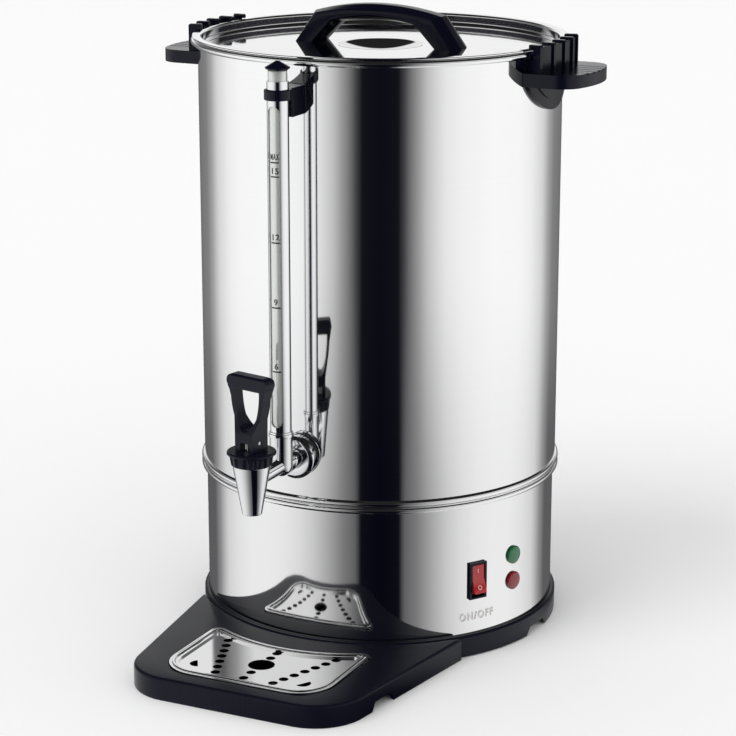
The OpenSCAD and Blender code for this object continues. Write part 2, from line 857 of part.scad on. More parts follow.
// Faceted arch handle on the lid
module lid_handle() {
    knee_x = grip_shoulder_x - grip_leg;
    knee_z = grip_shoulder_z - grip_t * grip_knee;
    legs = [
        [[grip_foot_x, 0], [grip_foot_x - grip_leg, 0]],
        [[grip_shoulder_x, grip_shoulder_z], [knee_x, knee_z]]];
    crown = [for (t = grip_stations) [
        [grip_shoulder_x * t, grip_crown_z - (grip_crown_z - grip_shoulder_z) * t * t],
        [knee_x * t, grip_crown_z - grip_t - (grip_crown_z - grip_t - knee_z) * t * t]]];
    half = concat(legs, crown);
    stations = concat(half, [for (i = [len(half) - 2:-1:0]) [for (q = half[i]) [-q.x, q.y]]]);
    count = len(stations);
    points = [for (q = stations) each grip_section(q[0], q[1])];
    skin = [for (i = [0:count - 2], k = [0:7])
        let (a = 8 * i + k, b = 8 * i + (k + 1) % 8)
        [a, b, b + 8, a + 8]];
    ends = [[for (k = [7:-1:0]) k], [for (k = [0:7]) 8 * (count - 1) + k]];
    color([0.1, 0.1, 0.12]) placed() difference() {
        polyhedron(points = points, faces = [for (f = concat(skin, ends)) turned(f)]);
        for (s = [-1, 1]) translate([s * grip_screw_x, 0, lid_floor - cut])
            cylinder(r = grip_screw_r + running, h = cut + grip_screw_l);
    }
}

// Screws that hold the lid handle from below
module lid_screws() {
    color("silver") placed() for (s = [-1, 1]) translate([s * grip_screw_x, 0, 0]) {
        translate([0, 0, lid_floor - lid_sheet - grip_head_h])
            cylinder(r = 2 * grip_screw_r, h = grip_head_h);
        translate([0, 0, lid_floor - lid_sheet - eps]) cylinder(r = grip_screw_r, h = grip_screw_l);
    }
}

// Plan of a side handle's plate: straight sides, round corners and a bowed end
module plate_plan() {
    span = plate_end_r - plate_corner_r;
    y = plate_half_w - plate_corner_r;
    lean = asin(y / span);
    c = [plate_far - plate_end_r + span * cos(lean), y];
    right = concat(
        arc([plate_far - plate_end_r, 0], plate_end_r, 0, lean, 6),
        arc(c, plate_corner_r, lean, 90, 10),
        [[plate_root, plate_half_w]]);
    polygon(concat([for (q = turned(right)) [q.x, -q.y]], right));
}

// Side view of a hook fin: round shoulder outside, round nose over the rim
module fin_side() {
    polygon(concat(
        [[comb_out, plate_top - lap]],
        arc([comb_out - fin_round, hook_top - fin_round], fin_round, 0, 90, 5),
        arc([nose_r + nose_round, hook_top - nose_round], nose_round, 90, 180, 4),
        [[nose_r, nose_low], [comb_in - fin_step, nose_low], [comb_in - fin_step, plate_top - lap]]));
}

// Side handle on +X: plate, clamp under the rim, hook comb and fixing tab
module side_handle() {
    panel_top = hook_top - panel_drop;
    tab_h = plate_low + lap - tab_low + cut;
    difference() {
        union() {
            translate([0, 0, plate_low]) linear_extrude(plate_t) plate_plan();
            sector(handle_in - lap, comb_out - panel_back, plate_top - lap,
                clamp_top - plate_top + lap, 2 * fin_pitch_a + clamp_a);
            sector(comb_in, comb_out - panel_back, plate_top - lap,
                panel_top - plate_top + lap, 2 * fin_pitch_a);
            for (k = [-2:2]) rotate([0, 0, k * fin_pitch_a])
                rotate([90, 0, 0]) linear_extrude(fin_t, center = true) fin_side();
            for (step = [[0, tab_t], [tab_step_w, tab_t + tab_step_t]]) intersection() {
                translate([0, 0, tab_low - cut]) cylinder(r = handle_in + step[1], h = tab_h);
                translate([tank_r - 2 * cut, 0, tab_c]) rotate([0, 90, 0])
                    cylinder(r = tab_r - step[0], h = tank_r);
                translate([0, -tank_r, tab_low - cut]) cube([2 * tank_r, 2 * tank_r, tab_h]);
            }
        }
        translate([0, 0, tab_low - cut]) cylinder(r = handle_in, h = clamp_top + 2 * lap - tab_low + cut);
        for (k = [-2:2])
            translate([comb_out + groove_start, k * groove_pitch - groove_w / 2, plate_top - groove_d])
                cube([plate_reach, groove_w, cut]);
        for (s = [-1, 1]) rotate([0, 0, s * handle_screw_a]) translate([tank_r - cut, 0, handle_screw_z])
            rotate([0, 90, 0]) cylinder(r = handle_screw_r + running, h = cut + tab_t);
    }
}

module right_handle() {
    color([0.12, 0.12, 0.14]) placed() side_handle();
}

module left_handle() {
    color([0.12, 0.12, 0.14]) placed() rotate([0, 0, 180]) side_handle();
}

// Screws from inside the tank into the side handles
module handle_screws() {
    color("silver") placed() for (side = [90, -90], s = [-1, 1]) at_angle(side + s * handle_screw_a) {
        outward(tank_in - handle_gap - handle_head_h, handle_screw_z)
            cylinder(r = 2 * handle_screw_r, h = handle_head_h);
        outward(tank_in - handle_gap - eps, handle_screw_z)
            cylinder(r = handle_screw_r, h = tab_t + handle_gap + 2 * handle_gap);
    }
}

// Black cone that closes the gauge, with its plug in the glass
module gauge_cap() {
    color([0.1, 0.1, 0.1]) placed() translate([0, -gauge_y, 0]) rotate_extrude() polygon([
        [0, glass_top - plug_h], [glass_in - seat, glass_top - plug_h], [glass_in - seat, glass_top],
        [glass_r, glass_top], [cone_r, glass_top + cone_flare], [cone_r, glass_top + cone_flare + cone_edge],
        [cone_point, glass_top + cone_h], [0, glass_top + cone_h + cone_round]]);
}

// Clear tube of the gauge
module gauge_glass() {
    color([0.85, 0.92, 0.95, 0.5]) placed() translate([0, -gauge_y, 0])
        tube(glass_r, glass_in, glass_low, glass_top - glass_low);
}

// Metal guard tube with the long window
module gauge_guard() {
    color("silver") placed() translate([0, -gauge_y, 0]) difference() {
        tube(guard_r, guard_in, socket_top, guard_top - socket_top);
        translate([-window_w / 2, -2 * guard_r, window_low + window_w / 2])
            cube([window_w, 2 * guard_r, window_top - window_low - window_w]);
        for (z = [window_low + window_w / 2, window_top - window_w / 2])
            translate([0, 0, z]) rotate([90, 0, 0]) cylinder(d = window_w, h = 2 * guard_r);
    }
}

// Bracket that clips the guard to the tank
module gauge_bracket() {
    color([0.12, 0.12, 0.14]) placed() difference() {
        union() {
            translate([0, -gauge_y, clip_z]) cylinder(r = guard_r + clip_wall, h = clip_h);
            translate([-bracket_w / 2, -gauge_y + guard_r + lap, bracket_low])
                cube([bracket_w, gauge_out, bracket_h]);
            translate([-bracket_w / 2, -gauge_y, clip_z]) cube([bracket_w, gauge_out, clip_h]);
        }
        translate([0, -gauge_y, 0]) cylinder(r = guard_r + seat, h = rim_top + cut);
        cylinder(r = tank_r + seat, h = rim_top + cut);
    }
}

// Soft cup under the glass in the lower socket
module gauge_seal() {
    color("whitesmoke") placed() translate([0, -gauge_y, 0])
        tube(glass_r, pipe_bore, socket_seat, glass_low - socket_seat);
}

// Pipe through the tank wall, with the gauge's socket on it
module tap_shank() {
    tap_back = tap_y - chamber_r - pipe_end;
    color("silver") placed() difference() {
        union() {
            outward(shank_in, pipe_z) cylinder(r = shank_r, h = gauge_y - shank_in);
            outward(gauge_y - eps, pipe_z) cylinder(r = pipe_r, h = tap_back - gauge_y);
            translate([0, -gauge_y, pipe_z]) sphere(socket_r);
            translate([0, -gauge_y, pipe_z]) cylinder(r = socket_r, h = socket_top - pipe_z);
            translate([0, -gauge_y, socket_rib_z]) cylinder(r = socket_r + socket_rib, h = socket_rib_h);
        }
        outward(shank_in - cut, pipe_z) cylinder(r = pipe_bore, h = tap_y);
        translate([0, -gauge_y, pipe_z]) cylinder(r = pipe_bore, h = tank_h);
        translate([0, -gauge_y, socket_seat]) cylinder(r = glass_r + running, h = tank_h);
    }
}

// Round nut outside the wall
module wall_nut() {
    color("silver") placed() difference() {
        outward(tank_r + washer_t, pipe_z) union() {
            cylinder(r = wall_nut_r, h = wall_nut_t - nut_bevel);
            translate([0, 0, wall_nut_t - nut_bevel - eps])
                cylinder(r1 = wall_nut_r, r2 = wall_nut_r - nut_taper, h = nut_bevel);
        }
        outward(tank_r - cut, pipe_z) cylinder(r = shank_r + running, h = wall_nut_t + 3 * cut);
    }
}

// Soft washers that follow the wall's curve, outside and inside
module wall_washer() {
    color([0.15, 0.15, 0.15]) placed() difference() {
        outward(tank_r - cut, pipe_z) cylinder(r = washer_r, h = cut + washer_t);
        outward(tank_r - 2 * cut, pipe_z) cylinder(r = shank_r + running, h = 4 * cut);
        translate([0, 0, pipe_z - 2 * washer_r]) cylinder(r = tank_r + running, h = 4 * washer_r, $fn = fine);
    }
}

module inner_washer() {
    color("whitesmoke") placed() intersection() {
        difference() {
            outward(tank_in - inner_washer_t, pipe_z) cylinder(r = washer_r, h = cut);
            outward(tank_in - 2 * cut, pipe_z) cylinder(r = shank_r + running, h = 4 * cut);
        }
        translate([0, 0, pipe_z - 2 * washer_r])
            cylinder(r = tank_in - running, h = 4 * washer_r, $fn = fine);
    }
}

// Six-sided nut inside the tank
module lock_nut() {
    color("silver") placed() difference() {
        outward(shank_in + lock_nut_in, pipe_z)
            cylinder(r = lock_nut_r, h = tank_in - inner_washer_t - lock_nut_in - shank_in, $fn = 6);
        outward(shank_in - cut, pipe_z) cylinder(r = shank_r + running, h = 4 * cut);
    }
}

// Tapered nozzle with its valve chamber and inlet
module tap_body() {
    color("silver") placed() difference() {
        translate([0, -tap_y, 0]) rotate_extrude() polygon(concat(
            [[spout_r, nozzle_tip]],
            arc([tip_r - tip_round, nozzle_tip + tip_round], tip_round, -90, 0, 5),
            [[nozzle_r, nozzle_top], [spigot_r, nozzle_top], [spigot_r, nozzle_top + spigot_h],
            [chamber_r, nozzle_top + spigot_h], [chamber_r, valve_seat_z], [spout_r, valve_seat_z]]));
        outward(gauge_y, pipe_z)
            cylinder(r = pipe_r + running, h = tap_out - gauge_out - chamber_r - pipe_end);
        outward(gauge_y, pipe_z) cylinder(r = pipe_bore, h = tap_out - gauge_out);
    }
}

// Ribbed screw cap over the valve
module tap_bonnet() {
    under = bonnet_top - bonnet_flange;
    color([0.1, 0.1, 0.12]) placed() translate([0, -tap_y, 0]) difference() {
        rotate_extrude() polygon([
            [spigot_r + running, nozzle_top], [bonnet_low_r, nozzle_top],
            [bonnet_low_r + bonnet_flare, under],
            [bonnet_r, under + bonnet_bevel], [bonnet_r, bonnet_top - bonnet_bevel],
            [bonnet_r - bonnet_bevel, bonnet_top], [stem_r + running, bonnet_top],
            [stem_r + running, bonnet_top - bonnet_roof], [spigot_r + running, bonnet_top - bonnet_roof]]);
        for (k = [0:bonnet_ribs - 1]) rotate([0, 0, k * 360 / bonnet_ribs])
            translate([rib_cut_c, 0, nozzle_top - cut])
                cylinder(r = rib_cut_r, h = bonnet_h - bonnet_flange + cut, $fn = small_fn);
    }
}

// Places a piece in the lever's frame, on the nozzle's axis
module at_lever() {
    translate([0, -tap_y, 0]) rotate([0, 0, lever_a]) children();
}

// Lower half of an ellipse about height z, from -X to +X
function bowl(a, b, z) = [for (i = [0:24]) [a * cos(180 + 7.5 * i), z + b * sin(180 + 7.5 * i)]];

// Half width of the loop's outside at height z
function loop_half(z) =
    (loop_a + arm_t) * sqrt(1 - pow((loop_z + lap - z) / (loop_h + arm_t), 2));

// Four-sided plate between two half widths at two heights
function between(x0, z0, x1, z1) = [[-x0, z0], [x0, z0], [x1, z1], [-x1, z1]];

// Lever with a finger bar, a rounded three-sided loop and a slotted root
module tap_lever() {
    bar_x = bar_l / 2 - bar_r;
    fill_z = root_h + arm_fill;
    flare_z = loop_z - bar_flare;
    side = [[heel, slip], [heel, root_h - lap], [arm_d, root_h + arm_fill], [arm_d, loop_z - lap],
        [bar_r, loop_z + lap], [bar_r, lever_h - lever_edge], [bar_r - lever_edge, lever_h]];
    color([0.12, 0.12, 0.14]) placed() at_lever() translate([0, 0, bonnet_top]) difference() {
        intersection() {
            rotate([90, 0, 0]) linear_extrude(4 * heel, center = true) difference() {
                union() {
                    translate([-root_w / 2, slip]) square([root_w, root_h - slip]);
                    polygon(between(root_w / 2, root_h - lap, loop_half(fill_z), fill_z));
                    polygon(bowl(loop_a + arm_t, loop_h + arm_t, loop_z + lap));
                    polygon(between(loop_half(flare_z), flare_z, bar_l / 2 - eps, lever_h - bar_r));
                    polygon(concat(
                        arc([bar_x, lever_h - bar_r], bar_r, -90, 90, 12),
                        arc([-bar_x, lever_h - bar_r], bar_r, 90, 270, 12)));
                }
                polygon(bowl(loop_a, loop_h, loop_z));
            }
            rotate([90, 0, 90]) linear_extrude(2 * bar_l, center = true)
                polygon(concat(side, [for (q = turned(side)) [-q.x, q.y]]));
        }
        translate([-lever_slot / 2, -2 * heel, -cut]) cube([lever_slot, 4 * heel, cut + notch_top]);
        translate([-lever_slot / 2, -stem_r - tongue_room, -cut])
            cube([lever_slot, 2 * stem_r + 2 * tongue_room, cut + pin_rise + stem_r + tongue_room]);
        translate([-root_w, 0, pin_rise]) rotate([0, 90, 0]) cylinder(r = pin_r + running, h = 2 * root_w);
    }
}

// Pin that joins lever and stem
module lever_pin() {
    color("silver") placed() at_lever() translate([0, 0, pin_z]) rotate([0, 90, 0])
        cylinder(r = pin_r, h = root_w - lap, center = true);
}

// Stem with a flat tongue for the pin and a collar that carries the spring
module tap_stem() {
    color("white") placed() at_lever() difference() {
        union() {
            translate([0, 0, valve_seat_z + cup_h])
                cylinder(r = stem_r, h = bonnet_top - valve_seat_z - cup_h + 2 * lap);
            translate([0, 0, valve_seat_z + cup_h]) cylinder(r = cup_r, h = collar_t);
            translate([0, 0, valve_seat_z + cup_floor]) cylinder(r = stem_post, h = cup_h);
            translate([-tongue_thick / 2, -stem_r, bonnet_top + lap])
                cube([tongue_thick, 2 * stem_r, pin_z - bonnet_top - lap]);
            translate([-tongue_thick / 2, 0, pin_z]) rotate([0, 90, 0])
                cylinder(r = stem_r, h = tongue_thick);
        }
        translate([-root_w, 0, pin_z]) rotate([0, 90, 0]) cylinder(r = pin_r + running, h = 2 * root_w);
    }
}

// Points of the spring's centre line: flat end turns and an even climb between them
spring_steps = 8;
spring_rings = spring_turns * spring_steps;
spring_pitch = (spring_top - spring_low - 2 * spring_wire) / spring_turns;
function spring_point(i) =
    let (a = 360 * i / spring_steps)
    [spring_r * cos(a), spring_r * sin(a), spring_low + spring_wire + spring_pitch * i / spring_steps];
spring_sides = 6;
spring_skin = [for (i = [0:spring_rings]) let (a = 360 * i / spring_steps)
    [for (k = [0:spring_sides - 1]) let (b = 360 * k / spring_sides)
        spring_point(i) + spring_wire * (cos(b) * [cos(a), sin(a), 0] + sin(b) * [0, 0, 1])]];
spring_self_gap = min([for (i = [0:spring_rings], j = [i + spring_steps / 2:spring_rings])
    min([for (p = spring_skin[i], q = spring_skin[j]) norm(p - q)])]);
echo(spring_self_gap = spring_self_gap);

// Coil that closes the valve, one tube of six sides
module tap_spring() {
    n = spring_sides;
    skin = [for (i = [0:spring_rings - 1], k = [0:n - 1])
        let (a = i * n + k, b = i * n + (k + 1) % n)
        each [[a, a + n, b], [b, a + n, b + n]]];
    first = [for (k = [1:n - 2]) [0, k, k + 1]];
    top = spring_rings * n;
    last = [for (k = [1:n - 2]) [top, top + k + 1, top + k]];
    color("gray") placed() translate([0, -tap_y, 0])
        polyhedron(points = [for (ring = spring_skin) each ring], faces = concat(skin, first, last));
}

// Soft cup that closes the spout
module seat_cup() {
    color("whitesmoke") placed() translate([0, -tap_y, 0]) rotate_extrude() polygon([
        [0, valve_seat_z + running], [cup_r - cup_edge, valve_seat_z + running],
        [cup_r, valve_seat_z + running + cup_edge], [cup_r, valve_seat_z + cup_h - running],
        [stem_post + running, valve_seat_z + cup_h - running],
        [stem_post + running, valve_seat_z + cup_floor - running], [0, valve_seat_z + cup_floor - running]]);
}

// Places a piece on the switch, with its +Z out of the housing and +Y up
module at_switch() {
    at_angle(switch_a) outward(skirt_r, base_h + switch_z) children();
}

// Switch housing with bezel, pocket and bearings for the rocker
module switch_housing() {
    color([0.08, 0.08, 0.09]) placed() at_switch() difference() {
        union() {
            translate([-bezel_w / 2, -bezel_h / 2, bezel_gap]) cube([bezel_w, bezel_h, bezel_t]);
            translate([-bezel_w / 2 + switch_lip, -bezel_h / 2 + switch_lip, -switch_depth])
                cube([bezel_w - 2 * switch_lip, bezel_h - 2 * switch_lip, switch_depth + lap]);
        }
        translate([-housing_in_w / 2, -housing_in_h / 2, -switch_depth + switch_back])
            cube([housing_in_w, housing_in_h, switch_depth + cut]);
        translate([-bezel_w, 0, -rocker_pivot]) rotate([0, 90, 0])
            cylinder(r = rocker_pin_r + running, h = 2 * bezel_w);
    }
}

// Rocker, resting with its lower end out
module rocker() {
    h = rocker_half;
    face = -rocker_pivot - rocker_out;
    b = rocker_back;
    color([0.75, 0.08, 0.1]) placed() at_switch()
        translate([0, 0, -rocker_pivot]) rotate([-rocker_a / 2, 0, 0]) {
        rotate([0, 90, 0]) linear_extrude(rocker_w, center = true)
            polygon([[face, -h], [face + rocker_dip, 0], [face, h],
                [-rocker_edge, h], [b, b], [b, -b], [-rocker_edge, -h]]);
        translate([-housing_in_w / 2 - lap, 0, 0]) rotate([0, 90, 0])
            cylinder(r = rocker_pin_r, h = housing_in_w + 2 * lap);
    }
}

// Lamp with a domed lens and a threaded shank through the housing
module lamp(z) {
    ball = (lens_r * lens_r + lens_proud * lens_proud) / (2 * lens_proud);
    at_angle(lamp_a) outward(skirt_r, base_h + z) {
        intersection() {
            translate([0, 0, running]) cylinder(r = lens_r, h = lens_proud);
            translate([0, 0, lens_proud - ball - lens_soft]) sphere(ball + lens_soft);
        }
        translate([0, 0, -lamp_len]) cylinder(r = lamp_shank_r, h = lamp_len + lap);
        for (s = [-1, 1]) translate([s * blade_x, 0, -lamp_len - cut + lap])
            cube([blade.x, blade.y, 2 * cut], center = true);
    }
}

module green_lamp() {
    color([0.1, 0.5, 0.25]) placed() lamp(lamp_z_high);
}

module red_lamp() {
    color([0.6, 0.1, 0.12]) placed() lamp(lamp_z_low);
}

// Nuts behind the lamps
module lamp_nuts() {
    color("white") placed() for (z = [lamp_z_low, lamp_z_high]) at_angle(lamp_a)
        outward(skirt_in - lamp_nut_in, base_h + z) difference() {
            cylinder(r = lamp_nut_r, h = lamp_nut_t, $fn = 6);
            translate([0, 0, -cut]) cylinder(r = lamp_shank_r + running, h = 3 * cut);
        }
}

// Mains inlet in the back of the housing
module mains_inlet() {
    color([0.1, 0.1, 0.1]) placed() at_angle(180) outward(skirt_r, base_h + inlet_z) difference() {
        union() {
            translate([-inlet_w / 2, -inlet_h / 2, inlet_gap]) cube([inlet_w, inlet_h, inlet_flange]);
            translate([-inlet_w / 2 + inlet_lip, -inlet_h / 2 + inlet_lip, -inlet_depth])
                cube([inlet_w - 2 * inlet_lip, inlet_h - 2 * inlet_lip, inlet_depth + lap]);
        }
        translate([-inlet_cavity_w / 2, -inlet_cavity_h / 2, inlet_gap + inlet_flange - inlet_cavity_d])
            cube([inlet_cavity_w, inlet_cavity_h, inlet_cavity_d + cut]);
        for (p = pin_spots) translate([p.x * inlet_pin_gap, p.y, -inlet_depth - cut])
            linear_extrude(inlet_depth)
                square([pin_size.x + 2 * running, pin_size.y + 2 * running], center = true);
    }
}

// Flat blades of the inlet
module inlet_pins() {
    color("goldenrod") placed() at_angle(180) outward(skirt_r, base_h + inlet_z)
        for (p = pin_spots) translate([p.x * inlet_pin_gap, p.y, -inlet_depth - pin_tail])
            linear_extrude(inlet_depth + 2 * lap) square(pin_size, center = true);
}

// Aluminium plate that spreads the heat under the tank
module diffuser_plate() {
    color("lightgray") placed() difference() {
        tube(plate_out, plate_in, skirt_top - diffuser_t, diffuser_t);
        rotate_extrude() translate([element_c, element_z]) circle(element_r + running);
        for (s = [-1, 1]) at_angle(180 + s * element_gap_a) translate([0, -element_c, element_z - element_r])
            cylinder(r = element_r + running, h = element_r + running);
    }
}

// Tubular heating element with its two cold ends
module heating_element() {
    color("dimgray") placed() {
        rotate([0, 0, 90 + element_gap_a]) rotate_extrude(angle = 360 - 2 * element_gap_a)
            translate([element_c, element_z]) circle(element_r);
        for (s = [-1, 1]) at_angle(180 + s * element_gap_a) translate([0, -element_c, 0]) {
            translate([0, 0, element_z]) sphere(element_r);
            translate([0, 0, element_z - cold_end_l]) cylinder(r = element_r, h = cold_end_l);
            translate([0, 0, element_z - cold_end_l - terminal_l])
                cylinder(r = terminal_r, h = terminal_l + lap);
        }
    }
}

// Snap-disc control pressed to the diffuser plate
module snap_disc(a, button) {
    at_angle(a) translate([0, -disc_c, skirt_top - diffuser_t - disc_h]) {
        translate([0, 0, disc_h - disc_cap_h]) cylinder(r = disc_cap_r, h = disc_cap_h);
        cylinder(r = disc_r, h = disc_h - disc_cap_h + lap);
        translate([0, 0, disc_h / 2]) cube(lug, center = true);
        if (button) translate([0, 0, -button_h]) cylinder(r = button_r, h = button_h + lap);
    }
}

module thermostat() {
    color("tan") placed() snap_disc(disc_a, false);
}

module cut_out() {
    color("saddlebrown") placed() snap_disc(-disc_a, true);
}

// Bell-shaped pump foot with inlets and a chamber for the loose valve
module pump_foot() {
    roof = valve_z + valve_t + valve_lift + lap;
    inside = valve_r + chamber_side;
    outside = inside + chamber_wall;
    color("silver") placed() difference() {
        rotate_extrude() polygon([
            [foot_bell_r - bell_t, well_floor], [foot_bell_r, well_floor],
            [foot_bell_r, well_floor + bell_edge],
            [outside, valve_z], [outside, roof + chamber_wall], [riser_r + chamber_wall, well_floor + foot_h],
            [riser_r + running, well_floor + foot_h], [riser_r + running, riser_low],
            [riser_in, riser_low], [riser_in, roof], [inside, roof], [inside, valve_z],
            [valve_hole, valve_z], [valve_hole, valve_z - valve_shelf],
            [inside - lap, valve_z - valve_shelf]]);
        for (a = [0, 60, 120]) rotate([0, 0, a]) translate([0, 0, well_floor])
            cube([3 * foot_bell_r, inlet_slot_w, inlet_slot_h], center = true);
    }
}

// Loose disc that lets water up but not down
module pump_valve() {
    color("gray") placed() translate([0, 0, valve_z]) cylinder(r = valve_r, h = valve_t);
}

// Riser tube with the collar that carries the basket
module riser_tube() {
    color("silver") placed() {
        tube(riser_r, riser_in, riser_low, riser_top - riser_low);
        tube(collar_r, riser_r - eps, basket_z - collar_h, collar_h);
    }
}

// Coffee basket with a perforated floor and a middle tube
module coffee_basket() {
    tube_r = riser_r + slip;
    color("lightgray") placed() difference() {
        union() {
            tube(basket_r, basket_r - basket_t, basket_z, basket_h);
            tube(basket_r - eps, tube_r, basket_z, basket_t);
            tube(tube_r + basket_t, tube_r, basket_z, basket_h - basket_short);
        }
        for (ring = [1:basket_rings], k = [0:6 * ring - 1]) rotate([0, 0, k * 60 / ring])
            translate([basket_r * ring / basket_spread, 0, basket_z - cut])
                cylinder(r = pierce_r, h = 2 * cut, $fn = small_fn);
    }
}

// Perforated disc on the basket that spreads the water
module basket_spreader() {
    color("lightgray") placed() difference() {
        union() {
            tube(basket_r, riser_r + slip, spreader_z, basket_t);
            tube(basket_r - basket_t - slip, basket_r - 2 * basket_t - slip,
                spreader_z - spreader_lip, spreader_lip + eps);
        }
        for (ring = [1:spreader_rings], k = [0:6 * ring - 1]) rotate([0, 0, k * 60 / ring])
            translate([basket_r * ring / spreader_spread, 0, spreader_z - cut])
                cylinder(r = pierce_r, h = 2 * cut, $fn = small_fn);
    }
}

tank();
base_skirt();
base_ring();
bottom_cover();
rubber_feet();
cover_screws();
drip_tray();
drip_grid();
lid();
lid_seal();
lid_handle();
lid_screws();
left_handle();
right_handle();
handle_screws();
gauge_cap();
gauge_glass();
gauge_guard();
gauge_bracket();
gauge_seal();
tap_shank();
wall_nut();
wall_washer();
inner_washer();
lock_nut();
tap_body();
tap_bonnet();
tap_lever();
lever_pin();
tap_stem();
tap_spring();
seat_cup();
switch_housing();
rocker();
green_lamp();
red_lamp();
lamp_nuts();
mains_inlet();
inlet_pins();
diffuser_plate();
heating_element();
thermostat();
cut_out();
pump_foot();
pump_valve();
riser_tube();
coffee_basket();
basket_spreader();
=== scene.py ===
"""Dresses the coffee urn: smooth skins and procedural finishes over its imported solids.

Lengths in the classes are millimetres from the tank's axis and the floor. A skin turns them into
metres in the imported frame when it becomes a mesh.
"""
import json
import logging
import math
from dataclasses import dataclass
from enum import Enum
from typing import Any, Callable, Optional, Sequence, Union

import bmesh
import bpy
import numpy as np
from mathutils import Matrix, Vector


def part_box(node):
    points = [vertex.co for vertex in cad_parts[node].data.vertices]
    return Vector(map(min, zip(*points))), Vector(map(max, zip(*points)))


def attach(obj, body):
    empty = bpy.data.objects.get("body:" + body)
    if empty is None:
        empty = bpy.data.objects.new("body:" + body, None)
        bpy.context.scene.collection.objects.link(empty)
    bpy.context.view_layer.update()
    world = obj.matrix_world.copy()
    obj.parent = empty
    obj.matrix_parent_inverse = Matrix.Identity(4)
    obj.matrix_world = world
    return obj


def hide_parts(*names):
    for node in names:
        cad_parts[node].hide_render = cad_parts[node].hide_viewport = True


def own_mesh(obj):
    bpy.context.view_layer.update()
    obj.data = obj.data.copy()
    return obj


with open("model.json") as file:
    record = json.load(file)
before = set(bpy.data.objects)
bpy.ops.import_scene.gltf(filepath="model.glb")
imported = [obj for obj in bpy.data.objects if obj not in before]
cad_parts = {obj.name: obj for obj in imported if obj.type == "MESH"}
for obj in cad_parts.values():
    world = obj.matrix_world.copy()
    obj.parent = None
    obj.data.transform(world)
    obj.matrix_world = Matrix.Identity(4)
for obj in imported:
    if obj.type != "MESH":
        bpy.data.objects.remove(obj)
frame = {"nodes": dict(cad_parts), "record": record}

LOG = logging.getLogger("urn")
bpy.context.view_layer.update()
TANK_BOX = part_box("tank")
MM = 0.001
TURN = 2.0 * math.pi
# Place of the tank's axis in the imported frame, in millimetres
AXIS_Y = (TANK_BOX[0].y + TANK_BOX[1].y) / 2.0 / MM
# Degrees past which an edge stays sharp
CREASE = 32.0


# ---------------------------------------------------------------- shader graph

class Value:
    """A shader output whose arithmetic adds Math nodes."""

    def __init__(self, graph: "Graph", socket: bpy.types.NodeSocket) -> None:
        """Keeps the graph and the output socket."""
        self.graph = graph
        self.socket = socket

    def _math(self, operation: str, first: "Operand", second: "Operand" = 0.0) -> "Value":
        """Adds one Math node.

        Args:
            operation: Name of the Math node's operation.
            first: First operand.
            second: Second operand.

        Returns:
            The node's output.
        """
        return self.graph.node("ShaderNodeMath", {"operation": operation}, {0: first, 1: second})

    def __add__(self, other: "Operand") -> "Value":
        """Sum."""
        return self._math("ADD", self, other)

    def __sub__(self, other: "Operand") -> "Value":
        """Difference."""
        return self._math("SUBTRACT", self, other)

    def __rsub__(self, other: "Operand") -> "Value":
        """Difference with the number first."""
        return self._math("SUBTRACT", other, self)

    def __mul__(self, other: "Operand") -> "Value":
        """Product."""
        return self._math("MULTIPLY", self, other)

    def __truediv__(self, other: "Operand") -> "Value":
        """Quotient."""
        return self._math("DIVIDE", self, other)

    def __rtruediv__(self, other: "Operand") -> "Value":
        """Quotient with the number first."""
        return self._math("DIVIDE", other, self)

    def sine(self) -> "Value":
        """Sine of an angle in radians."""
        return self._math("SINE", self)

    def arcsine(self) -> "Value":
        """Angle in radians of a sine."""
        return self._math("ARCSINE", self)

    def over(self, other: "Operand") -> "Value":
        """The larger of the two."""
        return self._math("MAXIMUM", self, other)

    __radd__ = __add__
    __rmul__ = __mul__


Operand = Union[Value, float]
Colour = Union[Value, Sequence[float]]


